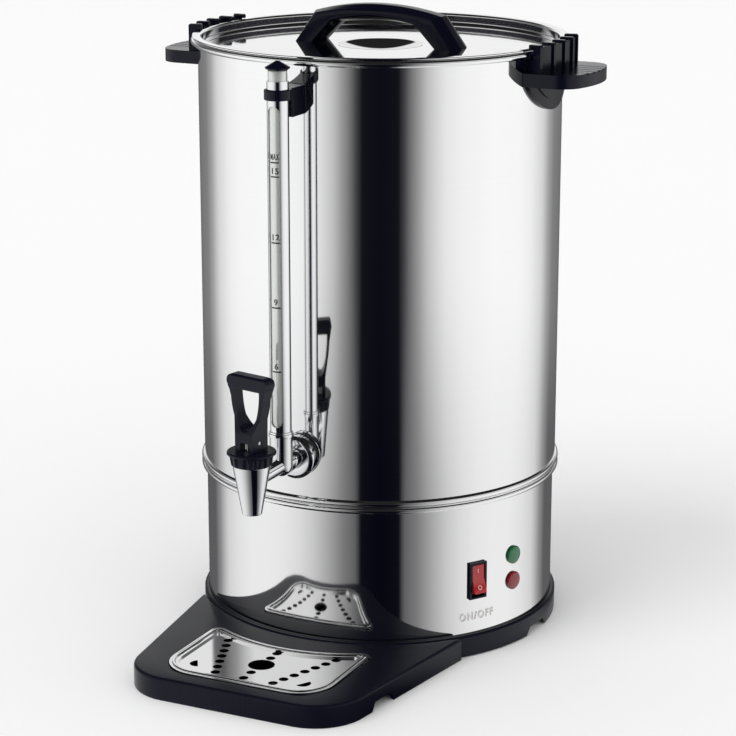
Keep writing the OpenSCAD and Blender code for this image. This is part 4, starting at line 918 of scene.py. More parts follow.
@dataclass
class Lid(Assembly):
    """Spun lid with its arch handle."""

    sheet: float = 1.0
    wall_r: float = 137.8
    bend: float = 2.0
    flange_r: float = 144.3
    dish_r: float = 33.0
    dish_depth: float = 6.5
    dish_lip: tuple[float, float] = (1.2, 2.4)
    run_in: float = 0.3
    flange_edge: float = 0.4
    notch_r: float = 140.2
    notch_a: float = 18.5
    notch_step: float = 0.02
    sheet_crease: float = 40.0
    steps: int = 240
    foot_x: float = 70.0
    leg: float = 22.0
    shoulder: tuple[float, float] = (53.0, 24.0)
    inner_shoulder: tuple[float, float] = (31.0, 16.8)
    crown_z: float = 31.0
    inner_crown_z: float = 19.0
    half_w: float = 14.5
    flat: float = 5.0
    chamfer: float = 4.0
    ease: float = 1.3
    depth_scale: float = 20.0
    grip_crease: float = 26.0
    leg_spans: int = 6
    crown_spans: int = 28

    def line(self, o: float) -> np.ndarray:
        """Upper outline of the sheet drawn in by o, from the middle to the flange.

        Args:
            o: Distance below the upper face.

        Returns:
            Radii and heights.
        """
        p, b, r = self.plan, self.bend, self.wall_r - self.sheet
        ball = (self.dish_r ** 2 + self.dish_depth ** 2) / (2.0 * self.dish_depth)
        opened = math.degrees(math.asin(self.dish_r / ball))
        level = [*(self.dish_r + lip for lip in self.dish_lip), r - 2.0 * b]
        low, high = p.lid_floor + b, p.lid_top - b
        return np.concatenate([
            arc([0.0, p.lid_floor - self.dish_depth + ball], ball + o, -90.0, -90.0 + opened, 16),
            [[x, p.lid_floor - o] for x in level],
            arc([r - b, low], b + o, -90.0, 0.0, 8),
            [[r + o, low + self.run_in], [r + o, high - self.run_in]],
            arc([r + b, high], b - o, 180.0, 90.0, 8),
            [[self.flange_r - self.flange_edge * (1.0 - o), p.lid_top - o]]])

    def sheet_piece(self) -> bpy.types.Object:
        """Lid whose flange stops short in front of the hooks: radius = min(radius, notch) there.

        Returns:
            The lid's sheet.
        """
        lower = self.line(self.sheet)[::-1].copy()
        lower[:, 0] = np.maximum(lower[:, 0], 0.0)
        edge = [[self.flange_r, self.plan.lid_top - self.flange_edge]]
        profile = np.concatenate([self.line(0.0), edge, lower])
        ends = [c + s * (self.notch_a + step) for c in (0.0, 180.0) for s in (-1.0, 1.0)
                for step in (0.0, self.notch_step)]
        even = np.arange(self.steps) * 360.0 / self.steps
        degrees = np.unique(np.concatenate([even, np.mod(ends, 360.0)]))
        grid = spun(profile, Seat.upright(), np.radians(degrees))
        off = np.abs((degrees + 90.0) % 180.0 - 90.0)
        reach = np.where(off < self.notch_a + self.notch_step / 2.0, self.notch_r, np.inf)[:, None]
        radius = np.maximum(np.hypot(grid[..., 0], grid[..., 1]), 1e-6)
        grid[..., :2] *= (np.minimum(radius, reach) / radius)[..., None]
        return Skin("lid_pressing").lattice(grid, True, False).build(self.sheet_crease)

    def handle(self) -> bpy.types.Object:
        """Arch swept from foot to foot.

        Between an outer point O(t) and an inner point I(t) of the arch the section is a rounded
        octagon: P = O + v (I - O) + w Y. The legs are straight, and the crown is a parabola
        z = shoulder + (crown - shoulder) (1 - (x / shoulder_x)^2).

        Returns:
            The lid's grip.
        """
        s = np.linspace(0.0, 1.0, self.leg_spans, endpoint=False)[:, None]
        u = np.linspace(1.0, -1.0, self.crown_spans + 1)
        outer, inner = (
            self.half_arch(np.array([foot, 0.0]), np.array(top), crest, s, u) for foot, top, crest in (
                (self.foot_x, self.shoulder, self.crown_z),
                (self.foot_x - self.leg, self.inner_shoulder, self.inner_crown_z)))
        k = self.chamfer / np.linalg.norm(inner - outer, axis=1)[:, None]
        w, n = self.half_w, self.flat
        cut = np.array([0.0, 0.0, 1.0, -1.0, 0.0, 0.0, -1.0, 1.0])
        base = np.array([0.0, 0.0, 0.0, 1.0, 1.0, 1.0, 1.0, 0.0])
        side = np.array([-n, n, w, w, n, -n, -w, -w])
        octagon = np.stack([base + k * cut, np.broadcast_to(side, (len(k), len(side)))], 2)
        scale = [self.depth_scale, 1.0]
        loops = np.stack([rounded(ring * scale, self.ease, 4) / scale for ring in octagon])
        arch = outer[:, None] + loops[..., :1] * (inner - outer)[:, None]
        points = np.stack([arch[..., 0], loops[..., 1], arch[..., 1] + self.plan.lid_floor], 2)
        return Skin("lid_grip").loft(points).build(self.grip_crease)

    @staticmethod
    def half_arch(foot: np.ndarray, top: np.ndarray, crest: float,
                  s: np.ndarray, u: np.ndarray) -> np.ndarray:
        """One edge line of the arch: leg, crown and the leg's mirror image.

        Args:
            foot: Foot of the leg.
            top: Shoulder where the crown starts.
            crest: Height of the crown's middle.
            s: Shares of the way up the leg.
            u: Shares of the way across the crown, from 1 to -1.

        Returns:
            Points from foot to foot.
        """
        leg = foot + s * (top - foot)
        crown = np.stack([top[0] * u, top[1] + (crest - top[1]) * (1.0 - u ** 2)], 1)
        return np.concatenate([leg, crown, leg[::-1] * [-1.0, 1.0]])

    def build(self) -> None:
        """Builds and dresses the lid, its handle and the ring under it."""
        self.dress(self.sheet_piece(), "lid")
        self.dress(self.handle(), "lid_handle")
        self.copies(lid_seal=0.2)


@dataclass
class SideHandles(Assembly):
    """Twist-lock handles with their hook combs."""

    edge: float = 0.5

    def build(self) -> None:
        """Dresses both handles with rounded edges."""
        self.copies(left_handle=self.edge, right_handle=self.edge)


class Mark(Enum):
    """Graduations of the gauge: the words and the height of each."""

    MAX = ("MAX", 394.0)
    FIFTEEN = ("15", 383.7)
    TWELVE = ("12", 335.6)
    NINE = ("9", 287.6)
    SIX = ("6", 239.6)


@dataclass
class Gauge(Assembly):
    """Sight glass in its guard, with the scale."""

    guard_r: float = 8.0
    guard_in: float = 7.2
    guard_low: float = 189.5
    guard_top: float = 447.8
    window_w: float = 9.6
    window_low: float = 193.5
    window_top: float = 430.3
    glass_r: float = 7.0
    glass_in: float = 5.6
    glass_low: float = 174.5
    glass_top: float = 455.3
    mark_w: float = 6.8
    mark_h: float = 4.4
    mark_a: float = 4.0
    mark_out: float = 0.06
    font: float = 1.4
    bold: float = 0.14
    line_h: float = 1.0
    line_spans: int = 6
    cone_r: float = 9.0
    cone_h: float = 6.5
    cone_band: tuple[float, float] = (1.4, 2.2)
    cone_point: tuple[float, float] = (1.6, 0.4)
    plug_h: float = 2.5
    plug_gap: float = 0.15
    tube_edge: float = 0.4
    steps: int = 72

    def guard(self) -> bpy.types.Object:
        """Tube with a long window.

        At height z the wall runs round from a(z) to 360 - a(z) degrees, with
        sin a = half width / radius and a half round at each end of the window.

        Returns:
            The guard.
        """
        end = self.window_w / 2.0
        quarter = np.linspace(0.0, math.pi / 2.0, 9)
        bow, rise = np.sin(quarter), self.window_low + end * (1.0 - np.cos(quarter))
        fall = self.window_low + self.window_top - rise[::-1]
        z = np.concatenate([[self.guard_low], rise, fall, [self.guard_top]])
        half = np.concatenate([[0.0], end * bow, end * bow[::-1], [0.0]])
        a = np.arcsin(half / self.guard_r)[:, None]
        angle = a + (TURN - 2.0 * a) * np.linspace(0.0, 1.0, self.steps + 1)
        ring = np.stack([np.sin(angle), -np.cos(angle)], -1)
        loop = np.concatenate([ring * self.guard_r, ring[:, ::-1] * self.guard_in], 1)
        heights = np.broadcast_to(z[:, None, None], (*loop.shape[:2], 1))
        points = np.concatenate([loop - [0.0, self.plan.gauge_y], heights], 2)
        keep = np.ones((len(z) - 1, loop.shape[1]), bool)
        shut = (half[:-1] + half[1:]) < 1e-9
        keep[np.ix_(shut, [self.steps, loop.shape[1] - 1])] = False
        skin = Skin("guard_tube").lattice(points, False, True, keep)
        n = self.steps + 1
        for row in (points[0], points[-1]):
            skin.lattice(np.stack([row[:n], row[n:][::-1]], 1))
        return skin.build()

    def marks(self) -> bpy.types.Object:
        """Numbers printed on the glass in the window, each over its graduation line.

        Returns:
            The printed scale.
        """
        skin = Skin("gauge_scale")
        x = np.repeat(np.linspace(-0.5, 0.5, self.line_spans + 1) * self.mark_w, 2)
        y = np.tile([0.0, self.line_h], self.line_spans + 1) - self.mark_h
        line = np.stack([x, y, np.full(len(x), self.mark_out)], 1)
        spans = [(2 * i, 2 * i + 2, 2 * i + 3, 2 * i + 1) for i in range(self.line_spans)]
        for mark in Mark:
            words, z = mark.value
            points, faces = lettering(words, self.mark_h * self.font, self.bold)
            points *= [min(1.0, self.mark_w / np.ptp(points[:, 0])), 1.0, 1.0]
            for shape, plan in ((points + [0.0, 0.0, self.mark_out], faces), (line, spans)):
                skin.flat(wrapped(shape, self.plan.gauge_y, self.glass_r, self.mark_a, z), plan)
        return skin.build(clean=False)

    def build(self) -> None:
        """Builds and dresses the gauge."""
        seat = Seat.upright(-self.plan.gauge_y)
        inner, r, g, top = self.glass_in, self.glass_r, self.glass_top, self.glass_top + self.cone_h
        tube = rounded([[inner, self.glass_low], [r, self.glass_low], [r, g], [inner, g]], self.tube_edge, 3)
        self.dress(Skin("sight_glass").turned(tube, seat, self.steps).build(), "gauge_glass")
        self.dress(self.guard(), "gauge_guard")
        plug, (point_r, point_h) = inner - self.plug_gap, self.cone_point
        cap = rounded([[0.0, g - self.plug_h], [plug, g - self.plug_h], [plug, g], [r, g],
                       *([self.cone_r, g + h] for h in self.cone_band), [point_r, top], [0.0, top + point_h]],
                      [0.0, 0.5, 0.2, 0.2, 0.4, 0.5, 1.0, 0.0], 4)
        self.dress(Skin("gauge_cone").turned(cap, seat, self.steps, False).build(), "gauge_cap")
        self.copies(gauge_bracket=0.6, gauge_seal=0.0)
        self.dress(self.marks(), finish="ink", body="urn")


@dataclass
class Tap(Assembly):
    """Self-closing tap with its pipe, nut, ribbed bonnet and lever."""

    shank_r: float = 8.0
    shank_in: float = 125.0
    bore: float = 3.5
    pipe_r: float = 6.0
    pipe_tip: float = 205.66
    socket_r: float = 8.6
    socket_in: float = 7.05
    socket_top: float = 189.5
    socket_seat: float = 172.0
    socket_rib: float = 0.7
    socket_rib_z: tuple[float, float] = (4.0, 1.5)
    thread: float = 0.05
    nut_r: float = 16.5
    nut_t: float = 9.0
    nut_bevel: tuple[float, float] = (3.0, 2.0)
    washer_t: float = 1.5
    tip_z: float = 138.8
    tip_r: float = 7.2
    top_z: float = 176.3
    top_r: float = 14.0
    spout_r: float = 5.4
    chamber_r: float = 7.74
    seat_z: float = 155.0
    spigot_r: float = 11.6
    spigot_h: float = 4.5
    bonnet_top: float = 186.9
    bonnet_r: float = 18.0
    bonnet_edge: float = 0.8
    bonnet_taper: float = 1.4
    flange_h: float = 3.0
    stem_hole: float = 3.25
    ribs: int = 14
    rib_steps: int = 14
    bonnet_crease: float = 40.0
    rib_c: float = 16.4
    rib_r: float = 2.4
    coil_r: float = 4.8
    wire_r: float = 0.6
    coils: int = 5
    coil_steps: int = 24
    wire_steps: int = 10
    coil_low: float = 164.1
    coil_top: float = 183.8
    stem_lift: float = 4.16
    fine: int = 4

    def shank(self) -> bpy.types.Object:
        """Pipe turned about its own axis, and the gauge's socket turned about the upright.

        Returns:
            The pipe with its socket.
        """
        p, end, r, top = self.plan, self.pipe_tip, self.socket_r, self.socket_top
        pipe = rounded([[self.bore, self.shank_in], [self.shank_r, self.shank_in], [self.shank_r, p.gauge_y],
                        [self.pipe_r, p.gauge_y], [self.pipe_r, end], [self.bore, end]],
                       [0.3, 0.8, 0.2, 0.2, 0.2, 0.2], 3)
        rib, (low, high) = r + self.socket_rib, (top - drop for drop in self.socket_rib_z)
        neck = rounded([[r, low], [rib, low], [rib, high], [r, high], [r, top], [self.socket_in, top],
                        [self.socket_in, self.socket_seat], [0.0, self.socket_seat], [0.0, p.pipe_z],
                        [r, p.pipe_z]], [0.15, 0.3, 0.3, 0.15, 0.5, 0.3, 0.2, 0.0, 0.0, 0.0], self.fine)
        # A round end takes the place of the last two corners
        neck = neck[:-2 * (self.fine + 1)]
        socket = np.concatenate([arc([0.0, p.pipe_z], r, -90.0, 0.0, 16), neck])
        return (Skin("tap_pipe").turned(pipe, Seat.outward(0.0, 0.0, p.pipe_z), 72)
                .turned(socket, Seat.upright(-p.gauge_y), closed=False).build())

    def nut(self) -> bpy.types.Object:
        """Round wall nut with a bevelled face.

        Returns:
            The nut.
        """
        r, bore, (face, depth) = self.nut_r, self.shank_r + self.thread, self.nut_bevel
        y = self.plan.tank_r + self.washer_t
        end = y + self.nut_t
        profile = rounded([[bore, y], [r, y], [r, end - depth], [r - face, end], [bore, end]],
                          [0.1, 0.6, 0.8, 0.8, 0.5], self.fine)
        return Skin("round_nut").turned(profile, Seat.outward(0.0, 0.0, self.plan.pipe_z)).build()

    def nozzle(self) -> bpy.types.Object:
        """Tapered nozzle with its chamber.

        Returns:
            The tap's body.
        """
        top, rim = self.top_z, self.top_z + self.spigot_h
        profile = rounded([
            [self.spout_r, self.tip_z], [self.tip_r, self.tip_z], [self.top_r, top], [self.spigot_r, top],
            [self.spigot_r, rim], [self.chamber_r, rim], [self.chamber_r, self.seat_z],
            [self.spout_r, self.seat_z]], [0.3, 1.4, 0.4, 0.1, 0.3, 0.3, 0.2, 0.2], 6)
        return Skin("nozzle_cone").turned(profile, Seat.upright(-self.plan.tap_y)).build()

    def bonnet(self) -> bpy.types.Object:
        """Screw cap with scallops cut by circles of radius R about the distance c.

        Below the flange r' = min(r, c cos(a) - sqrt(R^2 - c^2 sin(a)^2)), a from the nearest circle.

        Returns:
            The cap.
        """
        e, wide, top = self.bonnet_edge, self.bonnet_r, self.bonnet_top
        low, flange, bore = self.top_r + e, top - self.flange_h, self.spigot_r + self.thread
        profile = rounded([
            [bore, self.top_z], [low, self.top_z], [low + self.bonnet_taper, flange], [wide, flange + e],
            [wide, top - e], [wide - e, top], [self.stem_hole, top], [self.stem_hole, flange],
            [bore, flange]],
            [0.2, 0.6, 0.4, 0.4, 0.7, 0.7, 0.5, 0.2, 0.2], self.fine)
        steps, share = self.ribs * self.rib_steps, TURN / self.ribs
        grid = spun(profile, Seat.upright(-self.plan.tap_y), None, steps)
        angle = np.arange(steps)[:, None] * TURN / steps
        off = (angle + share / 2.0) % share - share / 2.0
        room = self.rib_r ** 2 - (self.rib_c * np.sin(off)) ** 2
        edge = np.where(room > 0.0, self.rib_c * np.cos(off) - np.sqrt(np.maximum(room, 0.0)), np.inf)
        r, h = profile.T
        draw = np.maximum(0.0, r - edge) * ((r > low - e) & (h < flange + self.thread))
        grid[..., :2] -= draw[..., None] * np.stack([np.cos(angle), np.sin(angle)], -1)
        return Skin("ribbed_bonnet").lattice(grid, True, True).build(self.bonnet_crease)

    def coil(self) -> bpy.types.Object:
        """Closing spring: a round wire about a helix of even climb.

        P(t, k) = ((R + w cos k) cos t, (R + w cos k) sin t, z(t) + w sin k), t over the coils.

        Returns:
            The spring.
        """
        t = np.linspace(0.0, TURN * self.coils, self.coil_steps * self.coils + 1)[:, None]
        k = np.arange(self.wire_steps) * TURN / self.wire_steps
        r = self.coil_r + self.wire_r * np.cos(k)
        z = np.linspace(self.coil_low + self.wire_r, self.coil_top - self.wire_r, len(t))[:, None]
        wire = np.stack([r * np.cos(t), r * np.sin(t) - self.plan.tap_y, z + self.wire_r * np.sin(k)], -1)
        return Skin("closing_coil").loft(wire).build()

    def build(self) -> None:
        """Builds and dresses the tap."""
        self.dress(self.shank(), "tap_shank")
        self.dress(self.nut(), "wall_nut")
        self.dress(self.nozzle(), "tap_body")
        self.dress(self.bonnet(), "tap_bonnet")
        self.copies(tap_lever=0.7, lever_pin=0.3, tap_stem=0.2,
                    wall_washer=0.3, inner_washer=0.3, lock_nut=0.4)
        coil, free = self.coil(), self.coil_top - self.coil_low
        self.dress(coil, "tap_spring")
        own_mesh(coil)


@dataclass
class Controls(Assembly):
    """Rocker switch, signal lamps and mains inlet."""

    switch_a: float = 58.0
    switch_z: float = 60.0
    rocker_half: float = 11.0
    pivot: float = 4.0
    proud: float = 4.2
    hollow: float = 2.0
    rest_a: float = -12.0
    mark_out: float = 0.05
    bar_half: float = 0.3
    bar_y: tuple[float, float] = (5.0, 8.2)
    ring_y: float = -6.6
    ring_r: tuple[float, float] = (1.2, 1.8)
    ring_steps: int = 40
    words_w: float = 31.0
    words_z: float = 31.5
    font: float = 8.6
    bold: float = 0.10
    apart: float = 1.34
    # Steps of the painted shadow layer of the switch words (to the right and down) and of the painted
    # highlight layer over it
    painted_shadow_shift: tuple[float, float, float] = (0.45, -0.45, 0.04)
    face_shift: tuple[float, float, float] = (0.0, 0.0, 0.11)
    lamp_a: float = 73.6
    lamp_z: tuple[float, float] = (72.1, 51.1)
    lens_r: float = 7.2
    lens_proud: float = 3.0
    lens_foot: tuple[float, float] = (0.1, 1.2)
    stem_r: float = 4.6
    stem_in: float = 14.0

    def lamp(self, name: str, z: float) -> bpy.types.Object:
        """Domed lens with a rounded foot, and the shank behind it.

        The dome is r = lens_r sin(a), h = foot + (proud - foot) cos(a).

        Args:
            name: Name of the piece.
            z: Height of its middle.

        Returns:
            The object.
        """
        low, foot = self.lens_foot
        a = np.linspace(0.0, math.pi / 2.0, 15)
        dome = np.stack([self.lens_r * np.sin(a), foot + (self.lens_proud - foot) * np.cos(a)], 1)
        stem = [[self.lens_r, low], [self.stem_r, low], [self.stem_r, -self.stem_in], [0.0, -self.stem_in]]
        seat = Seat.outward(self.lamp_a, self.plan.skirt_r, z)
        return Skin(name).turned(np.concatenate([dome, stem]), seat, 64, False).build()

    def rocker_face(self, flat: np.ndarray) -> np.ndarray:
        """Carries flat points onto the rocker's hollow face at rest.

        The face is z = proud + pivot - hollow (1 - |y| / half), turned by the rest angle about the pivot.

        Args:
            flat: Points with x across, y up and z above the face.

        Returns:
            Points on the urn.
        """
        x, y, z = flat.T
        h = self.pivot + self.proud - self.hollow * (1.0 - np.abs(y) / self.rocker_half) + z
        c, s = math.cos(math.radians(self.rest_a)), math.sin(math.radians(self.rest_a))
        local = np.stack([x, y * c - h * s, y * s + h * c - self.pivot], 1)
        return Seat.outward(self.switch_a, self.plan.skirt_r, self.switch_z).at(local)

    def rocker_marks(self) -> bpy.types.Object:
        """A bar on one end of the rocker and a ring on the other, as thin raised shapes.

        Returns:
            The marks.
        """
        skin = Skin("rocker_marks")
        bar = np.array([[x, y, self.mark_out] for x in (-self.bar_half, self.bar_half) for y in self.bar_y])
        skin.flat(self.rocker_face(bar), [(0, 2, 3, 1)])
        a = np.linspace(0.0, TURN, self.ring_steps + 1)[:, None]
        x, y = self.ring_r * np.cos(a), self.ring_r * np.sin(a) + self.ring_y
        ring = np.stack([x, y, np.full_like(x, self.mark_out)], -1).reshape(-1, 3)
        spans = [(2 * i, 2 * i + 1, 2 * i + 3, 2 * i + 2) for i in range(self.ring_steps)]
        skin.flat(self.rocker_face(ring), spans)
        return skin.build(clean=False)

    def words(self, name: str, shift: Sequence[float]) -> bpy.types.Object:
        """Switch words pressed into the housing below the switch, drawn out to a width, as one flat layer of
        colour: the dark layer paints the shadow of the pressed letters and the pale layer paints their
        highlight.

        Args:
            name: Name of the piece.
            shift: Step of this layer to the right, up and out.

        Returns:
            The object.
        """
        points, faces = lettering("ON/OFF", self.font, self.bold, self.apart)
        points *= [self.words_w / np.ptp(points[:, 0]), 1.0, 1.0]
        skin = Skin(name)
        skin.flat(wrapped(points + shift, 0.0, self.plan.skirt_r, self.switch_a, self.words_z), faces)
        return skin.build(clean=False)

    def build(self) -> None:
        """Builds and dresses the controls."""
        self.copies(switch_housing=0.5, rocker=0.6)
        self.dress(self.rocker_marks(), finish="rocker_mark", body="switch_rocker")
        for node, z in zip(("green_lamp", "red_lamp"), self.lamp_z):
            self.dress(self.lamp(node + "_lens", z), node)
        self.copies(mains_inlet=0.6, inlet_pins=0.3)
        # A dark layer under the words paints the shadow of the pressed letters, and a pale layer over it
        # paints their highlight
        self.dress(self.words("switch_words_painted_shadow", self.painted_shadow_shift), finish="mark_shade", body="urn")
        self.dress(self.words("switch_words", self.face_shift), finish="pale_mark", body="urn")


@dataclass
class DripTray(Assembly):
    """Slide-out tray with its well, and the pressed grid in it."""

    reach: float = 259.0
    arc_r: float = 142.4
    end_a: float = 50.0
    tip: float = 4.0
    half_front: float = 88.5
    corner_r: float = 40.0
    wall: float = 2.5
    deck: float = 2.5
    grid_front: float = 244.0
    grid_arc_y: float = 52.0
    grid_back_r: float = 117.0
    grid_half_w: float = 67.0
    grid_corner_r: float = 28.0
    ear_r: float = 6.0
    ledge: float = 4.0
    grid_z: float = 16.0
    grid_t: float = 1.2
    border_h: float = 1.4
    bead_i: float = 3.4
    bead_half: float = 1.5
    bead_h: float = 0.8
    bead_sunk: float = 0.2
    bead_steps: int = 360
    edge_r: float = 2.4
    slip: float = 0.3
    brim: float = 0.5
    well_edge: tuple[float, float] = (2.0, 1.5)
    foot_edge: tuple[float, float] = (0.5, 0.6)
    crease: float = 30.0
    foot: float = 3.0
    floor: float = 5.0
    notch_y: float = 197.0
    notch_half: float = 14.0
    notch_h: float = 7.0
    notch_slope: float = 3.5
    notch_x: float = 70.0
    tongue_a: float = 22.0
    tongue_half: float = 12.0
    tongue_in: float = 5.0
    tongue_z: tuple[float, float] = (1.8, 4.8)
    tongue_edge: float = 0.5
    tongue_r: float = 3.0
    tongue_draw: tuple[float, float] = (0.96, 0.98)
    ring_in: float = 138.8
    middle_y: float = 230.0

    def plan_line(self, i: float) -> np.ndarray:
        """Outline of the tray drawn in by i: straight sides, round front corners, hollow back.

        Args:
            i: Distance inside the outer outline.

        Returns:
            Points in order, from the right back tip round the front to the left and along the back.
        """
        a = math.radians(self.end_a)
        tip = np.array([self.arc_r * math.sin(a) + self.tip, -self.arc_r * math.cos(a)])
        run = np.array([self.half_front, -self.reach]) - tip
        run /= np.linalg.norm(run)
        inward = np.array([run[1], -run[0]])
        start, r = tip + i * inward, self.corner_r - i
        first = start + run * (tip[1] - i - start[1]) / run[1]
        c = start + r * inward + run * (-self.reach + self.corner_r - start[1] - r * inward[1]) / run[1]
        front = arc(c, r, math.degrees(math.atan2(-inward[1], -inward[0])), -90.0, 24)
        back_r = self.arc_r + i
        meet = math.asin(min(1.0, -first[1] / back_r))
        side = first + np.linspace(0.0, 1.0, 40)[:-1, None] * (front[0] - first)
        right = np.concatenate([side, front])
        hollow = arc([0.0, 0.0], back_r, -180.0 + math.degrees(meet), -math.degrees(meet), 64)
        return np.concatenate([right, right[::-1] * [-1.0, 1.0], hollow])

    def grid_line(self, i: float) -> np.ndarray:
        """Outline of the grid drawn in by i: round front corners, ears and a hollow back.

        Args:
            i: Distance inside the outer outline.

        Returns:
            Points in order.
        """
        half, r, ear = self.grid_half_w - i, self.grid_corner_r - i, self.ear_r - i / 2.0
        back = self.grid_back_r + i
        corner = np.array([half - r, -self.grid_front + i + r])
        drop = math.sqrt((back + ear) ** 2 - (half - ear) ** 2)
        ear_c = np.array([half - ear, -self.grid_arc_y - drop])
        lean = math.degrees(math.atan2(-self.grid_arc_y - ear_c[1], -ear_c[0]))
        meet = math.degrees(math.atan2(ear_c[1] + self.grid_arc_y, ear_c[0]))
        return np.concatenate([
            arc(corner * [-1.0, 1.0], r, 180.0, 270.0, 18), arc(corner, r, 270.0, 360.0, 18),
            arc(ear_c, ear, 0.0, lean, 10), arc([0.0, -self.grid_arc_y], back, meet, -180.0 - meet, 48),
            arc(ear_c * [-1.0, 1.0], ear, 180.0 - lean, 180.0, 10)])

    def rays(self, line: np.ndarray, angles: np.ndarray) -> np.ndarray:
        """Samples an outline on rays from the tray's middle, its long runs cut into short steps first.

        Args:
            line: Points of the outline.
            angles: Angles of the rays.

        Returns:
            Points on the outline, one for each ray.
        """
        step = np.linspace(0.0, 1.0, 24, endpoint=False)[None, :, None]
        d = line[:, None] + step * (np.roll(line, -1, 0) - line)[:, None] + [0.0, self.middle_y]
        x, y = d.reshape(-1, 2).T
        r = np.interp(angles, np.arctan2(y, x), np.hypot(x, y), period=TURN)
        return np.stack([r * np.cos(angles), r * np.sin(angles) - self.middle_y], 1)

    def tray(self) -> bpy.types.Object:
        """Skin over outlines of the tray and the well, each sampled on the same rays.

        A row is an outline at a height; the lower rows rise by the finger notches on both sides.

        Returns:
            The tray.
        """
        outer = self.plan_line(0.0) + [0.0, self.middle_y]
        even = np.linspace(-math.pi, math.pi, 480, endpoint=False)
        angles = np.unique(np.concatenate([even, np.arctan2(outer[:, 1], outer[:, 0])]))
        h, t, g = self.plan.base_h, self.plan_line, self.grid_line
        e, well, under = self.edge_r, self.ledge - self.wall, h - self.deck
        turn = np.radians(np.linspace(0.0, 90.0, 6))
        edge = [(t(e * (1.0 - math.sin(a))), h - e * (1.0 - math.cos(a)), 0.0) for a in turn]
        (well_i, well_h), (foot_i, foot_h) = self.well_edge, self.foot_edge
        rows = [(g(self.ledge + well_i), self.floor, 0.0), (g(self.ledge), self.floor + well_h, 0.0),
                (g(self.ledge), self.grid_z, 0.0), (g(-self.slip), self.grid_z, 0.0),
                (g(-self.slip), h - self.brim, 0.0), (g(-self.slip - self.brim), h, 0.0), *edge,
                (t(0.0), foot_h, 1.0), (t(foot_i), 0.0, 1.0), (t(self.wall), 0.0, 1.0),
                (t(self.wall), under, 0.0), (g(well), under, 0.0), (g(well), self.foot, 0.0)]
        loops = []
        for line, z, low in rows:
            x, y = self.rays(line, angles).T
            rise = np.clip((self.notch_half - np.abs(y + self.notch_y)) / self.notch_slope, 0.0, 1.0)
            loops.append(np.stack([x, y, z + low * rise * (np.abs(x) > self.notch_x) * self.notch_h], 1))
        skin = Skin("tray_moulding").loft(np.stack(loops))
        for s in (-1.0, 1.0):
            skin.loft(self.tongue(s))
        return skin.build(self.crease)

    def tongue(self, s: float) -> np.ndarray:
        """Locating tongue behind the tray, as rounded rectangles one above the other.

        Args:
            s: Side, -1 or 1.

        Returns:
            Loops from below to above.
        """
        a, w, (low, high) = math.radians(self.tongue_a), self.tongue_half, self.tongue_z
        x = s * self.arc_r * math.sin(a)
        y0, y1 = -self.arc_r - self.wall, -self.ring_in * math.cos(a) + self.tongue_in
        box = rounded([[x - w, y0], [x + w, y0], [x + w, y1], [x - w, y1]], self.tongue_r, 5)
        inset = (box - box.mean(0)) * self.tongue_draw + box.mean(0)
        rows = (inset, low), (box, low + self.tongue_edge), (box, high - self.tongue_edge), (inset, high)
        return np.stack([np.insert(line, 2, z, axis=1) for line, z in rows])

    def bead(self) -> bpy.types.Object:
        """Half-round bead along the grid's border: i = middle + half cos(k), z = top + h sin(k).

        Returns:
            The bead.
        """
        angles = np.linspace(-math.pi, math.pi, self.bead_steps, endpoint=False)
        i, half, top = self.bead_i, self.bead_half, self.grid_z + self.grid_t + self.border_h
        k = np.linspace(0.0, math.pi, 9)
        insets = [*(i + half * np.cos(k)), i - half, i + half]
        heights = [*(top + self.bead_h * np.sin(k)), top - self.bead_sunk, top - self.bead_sunk]
        loops = np.stack([np.insert(self.rays(self.grid_line(inset), angles), 2, z, axis=1)
                          for inset, z in zip(insets, heights)])
        return Skin("grid_bead").lattice(loops, True, True).build()

    def build(self) -> None:
        """Builds and dresses the tray and its grid."""
        self.dress(self.tray(), "drip_tray")
        self.copies(drip_grid=0.4)
        self.dress(self.bead(), finish=self.paint.slots["drip_grid"], body=self.paint.bodies["drip_grid"])


@dataclass
class Inside(Assembly):
    """Percolator set, heater and fixings: their own solids with finishes."""

    smooth: tuple[str, ...] = ("coffee_basket", "basket_spreader", "riser_tube", "pump_foot",
                               "diffuser_plate", "heating_element", "seat_cup", "lamp_nuts")

    def build(self) -> None:
        """Dresses the remaining solids, the round ones with smooth copies."""
        self.copies(**dict.fromkeys(self.smooth, 0.0))
        for node, solid in frame["nodes"].items():
            if not solid.hide_render:
                solid.data.materials.clear()
                solid.data.materials.append(self.paint.finish(self.paint.slots[node]))
                LOG.info("%s: own solid, %s", node, self.paint.slots[node])


# ----------------------------------------------------------------------- studio

Levels = tuple[tuple[float, float], ...]


